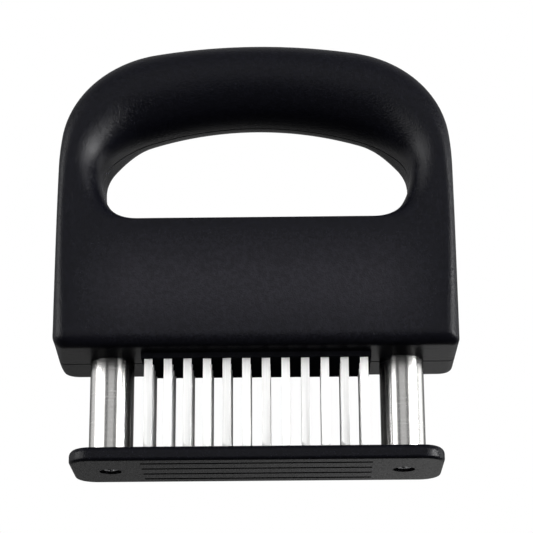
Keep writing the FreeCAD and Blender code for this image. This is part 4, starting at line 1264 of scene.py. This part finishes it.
@dataclass
class Studio:
    """Camera, lamps, world and floor.

    Attributes:
        camera_place: where the camera stands.
        camera_aim: what it looks at.
        camera_roll: degrees that it leans.
        lens: focal length in millimetres.
        sensor: width of the sensor in millimetres.
        clip: nearest and farthest that the camera sees.
        middle: middle of the object, which the lamps face.
        floor_half: half the side of the floor.
        floor_drop: floor below the object's foot.
        floor_tone: colour of the floor.
        floor_roughness: roughness of its paint.
        floor_shine: reflection of its paint, 0.5 as plain plastic.
        floor_fade: distances at which the floor starts to turn white and is white.
        dim: the surround's own light in mirrors, over its height.
        echo: share of that light that a mirror in a mirror still shows.
        first_mirror: count of mirrors on a ray's way, past which it is such an echo.
        soft: the surround's light on matt surfaces, over its height.
        lamps: the lamps.
        panels: what glossy surfaces mirror of the studio.
    """

    camera_place: Vector = field(
        default_factory=lambda: Vector((0.013590, -0.685339, -0.154236)))
    camera_aim: Vector = field(default_factory=lambda: Vector((0.003721, 0.0, 0.077136)))
    camera_roll: float = -0.296
    lens: float = 131.764
    sensor: float = 36.0
    clip: tuple[float, float] = (0.01, 50.0)
    middle: Vector = field(default_factory=lambda: Vector((0.0, 0.0, 0.08)))
    floor_half: float = 3.0
    floor_drop: float = 0.4 * MM
    floor_tone: Colour = (0.86, 0.86, 0.86)
    floor_roughness: float = 0.7
    floor_shine: float = 0.1
    floor_fade: tuple[float, float] = (0.3, 1.1)
    dim: tuple[tuple[float, float], ...] = (
        (0.0, 0.05), (0.30, 0.08), (0.40, 0.11), (0.425, 0.20), (0.46, 0.22), (0.50, 0.16),
        (0.70, 0.16), (0.76, 0.24), (0.90, 0.22), (1.0, 0.10))
    echo: float = 0.06
    first_mirror: float = 1.5
    soft: tuple[tuple[float, float], ...] = (
        (0.0, 0.10), (0.40, 0.20), (0.60, 0.40), (1.0, 0.50))
    lamps: tuple[Softbox, ...] = (
        Softbox("left softbox", -56.0, 22.0, 1.3, (1.00, 1.5), 2.8),
        Softbox("right softbox", 56.0, 22.0, 1.3, (1.00, 1.5), 5.0),
        Softbox("top softbox", 0.0, 84.0, 1.5, (1.4, 1.0), 0.6),
    )
    panels: tuple[Panel, ...] = (
        Panel(0.0, 24.0, 33.0, 44.0, (3.0, 18.0), 0.46),
        Panel(-59.0, 14.0, 50.0, 42.0, (4.0, 12.0), 2.2),
        Panel(-75.0, 20.0, 30.0, 26.0, (12.0, 12.0), 2.0),
        Panel(54.0, 10.0, 40.0, 42.0, (4.0, 12.0), 3.6),
        Panel(67.0, 5.0, 16.0, 26.0, (8.0, 12.0), 18.0),
        Panel(-108.0, 14.0, 34.0, 36.0, (12.0, 14.0), 0.5),
        Panel(108.0, 14.0, 36.0, 44.0, (12.0, 14.0), 1.2),
        Panel(162.0, -16.0, 34.0, 20.0, (8.0, 6.0), 0.28),
    )

    def set_camera(self) -> None:
        """Place the camera and make it the scene's own."""
        forward = (self.camera_aim - self.camera_place).normalized()
        level = forward.cross(Vector((0.0, 0.0, 1.0))).normalized()
        upright = level.cross(forward)
        roll = math.radians(self.camera_roll)
        right = level * math.cos(roll) + upright * math.sin(roll)
        up = right.cross(forward)
        lens = bpy.data.cameras.new("camera")
        lens.lens = self.lens
        lens.sensor_width = self.sensor
        lens.sensor_fit = "HORIZONTAL"
        lens.clip_start, lens.clip_end = self.clip
        item = bpy.data.objects.new("camera", lens)
        bpy.context.scene.collection.objects.link(item)
        turned = Matrix((right, up, -forward)).transposed().to_4x4()
        item.matrix_world = Matrix.Translation(self.camera_place) @ turned
        bpy.context.scene.camera = item

    def set_world(self) -> None:
        """Build the surround: white to the camera, panels in mirrors, soft on matt faces."""
        world = bpy.data.worlds.new("studio")
        world.use_nodes = True
        bpy.context.scene.world = world
        graph = Graph(world.node_tree)
        graph.tree.nodes.clear()
        way = graph.node("ShaderNodeTexCoord").outputs["Generated"]
        axes = graph.node("ShaderNodeSeparateXYZ", {0: way}).outputs
        ahead = graph.math("MULTIPLY", axes["Y"], -1.0)
        turn = graph.math("DEGREES", graph.math("ARCTAN2", axes["X"], ahead))
        rise = graph.math("DEGREES", graph.math("ARCSINE", axes["Z"]))
        height = graph.spread(rise, -90.0, 90.0)
        mirror = graph.ramp(height, self.dim)
        for panel in self.panels:
            mirror = graph.math("ADD", mirror, panel.glow(graph, turn, rise))
        path = graph.node("ShaderNodeLightPath").outputs
        again = graph.math("GREATER_THAN", path["Glossy Depth"], self.first_mirror)
        mirror = graph.math("MULTIPLY", mirror, graph.between(again, 1.0, self.echo))
        soft = graph.ramp(height, self.soft)
        level = graph.mix(Mix.NUMBER, path["Is Diffuse Ray"], mirror, soft)
        seen = graph.math("MAXIMUM", path["Is Camera Ray"], path["Is Transmission Ray"])
        level = graph.mix(Mix.NUMBER, seen, level, 1.0)
        light = graph.node("ShaderNodeBackground", {"Color": WHITE, "Strength": level})
        graph.node("ShaderNodeOutputWorld", {"Surface": light.outputs[0]})
        world.cycles.sampling_method = "NONE"

    def floor_paint(self) -> bpy.types.Material:
        """Make the floor's paint, which only camera rays from above see.

        Returns:
            The material.
        """
        material, graph, shader = new_material("Floor paint")
        shader.inputs["Base Color"].default_value = (*self.floor_tone, 1.0)
        shader.inputs["Roughness"].default_value = self.floor_roughness
        shader.inputs["Specular IOR Level"].default_value = self.floor_shine
        reach = graph.node("ShaderNodeVectorMath", {0: graph.place()},
                           operation="LENGTH").outputs["Value"]
        far = graph.spread(reach, *self.floor_fade)
        white = graph.node("ShaderNodeEmission", {"Strength": 1.0}).outputs[0]
        paint = graph.node("ShaderNodeMixShader", {0: far, 1: shader.outputs[0], 2: white})
        below = graph.node("ShaderNodeNewGeometry").outputs["Backfacing"]
        camera = graph.node("ShaderNodeLightPath").outputs["Is Camera Ray"]
        clear = graph.math("MAXIMUM", below, graph.math("SUBTRACT", 1.0, camera))
        window = graph.node("ShaderNodeBsdfTransparent").outputs[0]
        mix = graph.node("ShaderNodeMixShader", {0: clear, 1: paint.outputs[0], 2: window})
        out = graph.tree.nodes["Material Output"]
        graph.tree.links.new(mix.outputs[0], out.inputs["Surface"])
        return material

    def lay_floor(self) -> None:
        """Lay a pale floor that turns white far away and shows only from above."""
        work = bmesh.new()
        bmesh.ops.create_grid(work, x_segments=2, y_segments=2, size=self.floor_half)
        bmesh.ops.translate(work, verts=work.verts, vec=(0.0, 0.0, -self.floor_drop))
        mesh = bpy.data.meshes.new("floor")
        work.to_mesh(mesh)
        work.free()
        item = bpy.data.objects.new("floor", mesh)
        bpy.context.scene.collection.objects.link(item)
        mesh.materials.append(self.floor_paint())

    def build(self) -> None:
        """Set up everything round the object."""
        self.set_camera()
        self.set_world()
        self.lay_floor()
        for lamp in self.lamps:
            lamp.build(self.middle)
        bpy.context.scene.view_settings.view_transform = "Standard"
        log.info("studio: camera, floor, world and %d lamps", len(self.lamps))


def main() -> None:
    """Build the studio and every sub-assembly."""
    logging.basicConfig(level=logging.INFO, format="%(name)s: %(message)s")
    Studio().build()
    tree = row_tree()
    HandleBody().build()
    GuardFoot().build(tree)
    ColumnPair().build()
    BladeSet().build(tree)


if __name__ == "__main__":
    main()
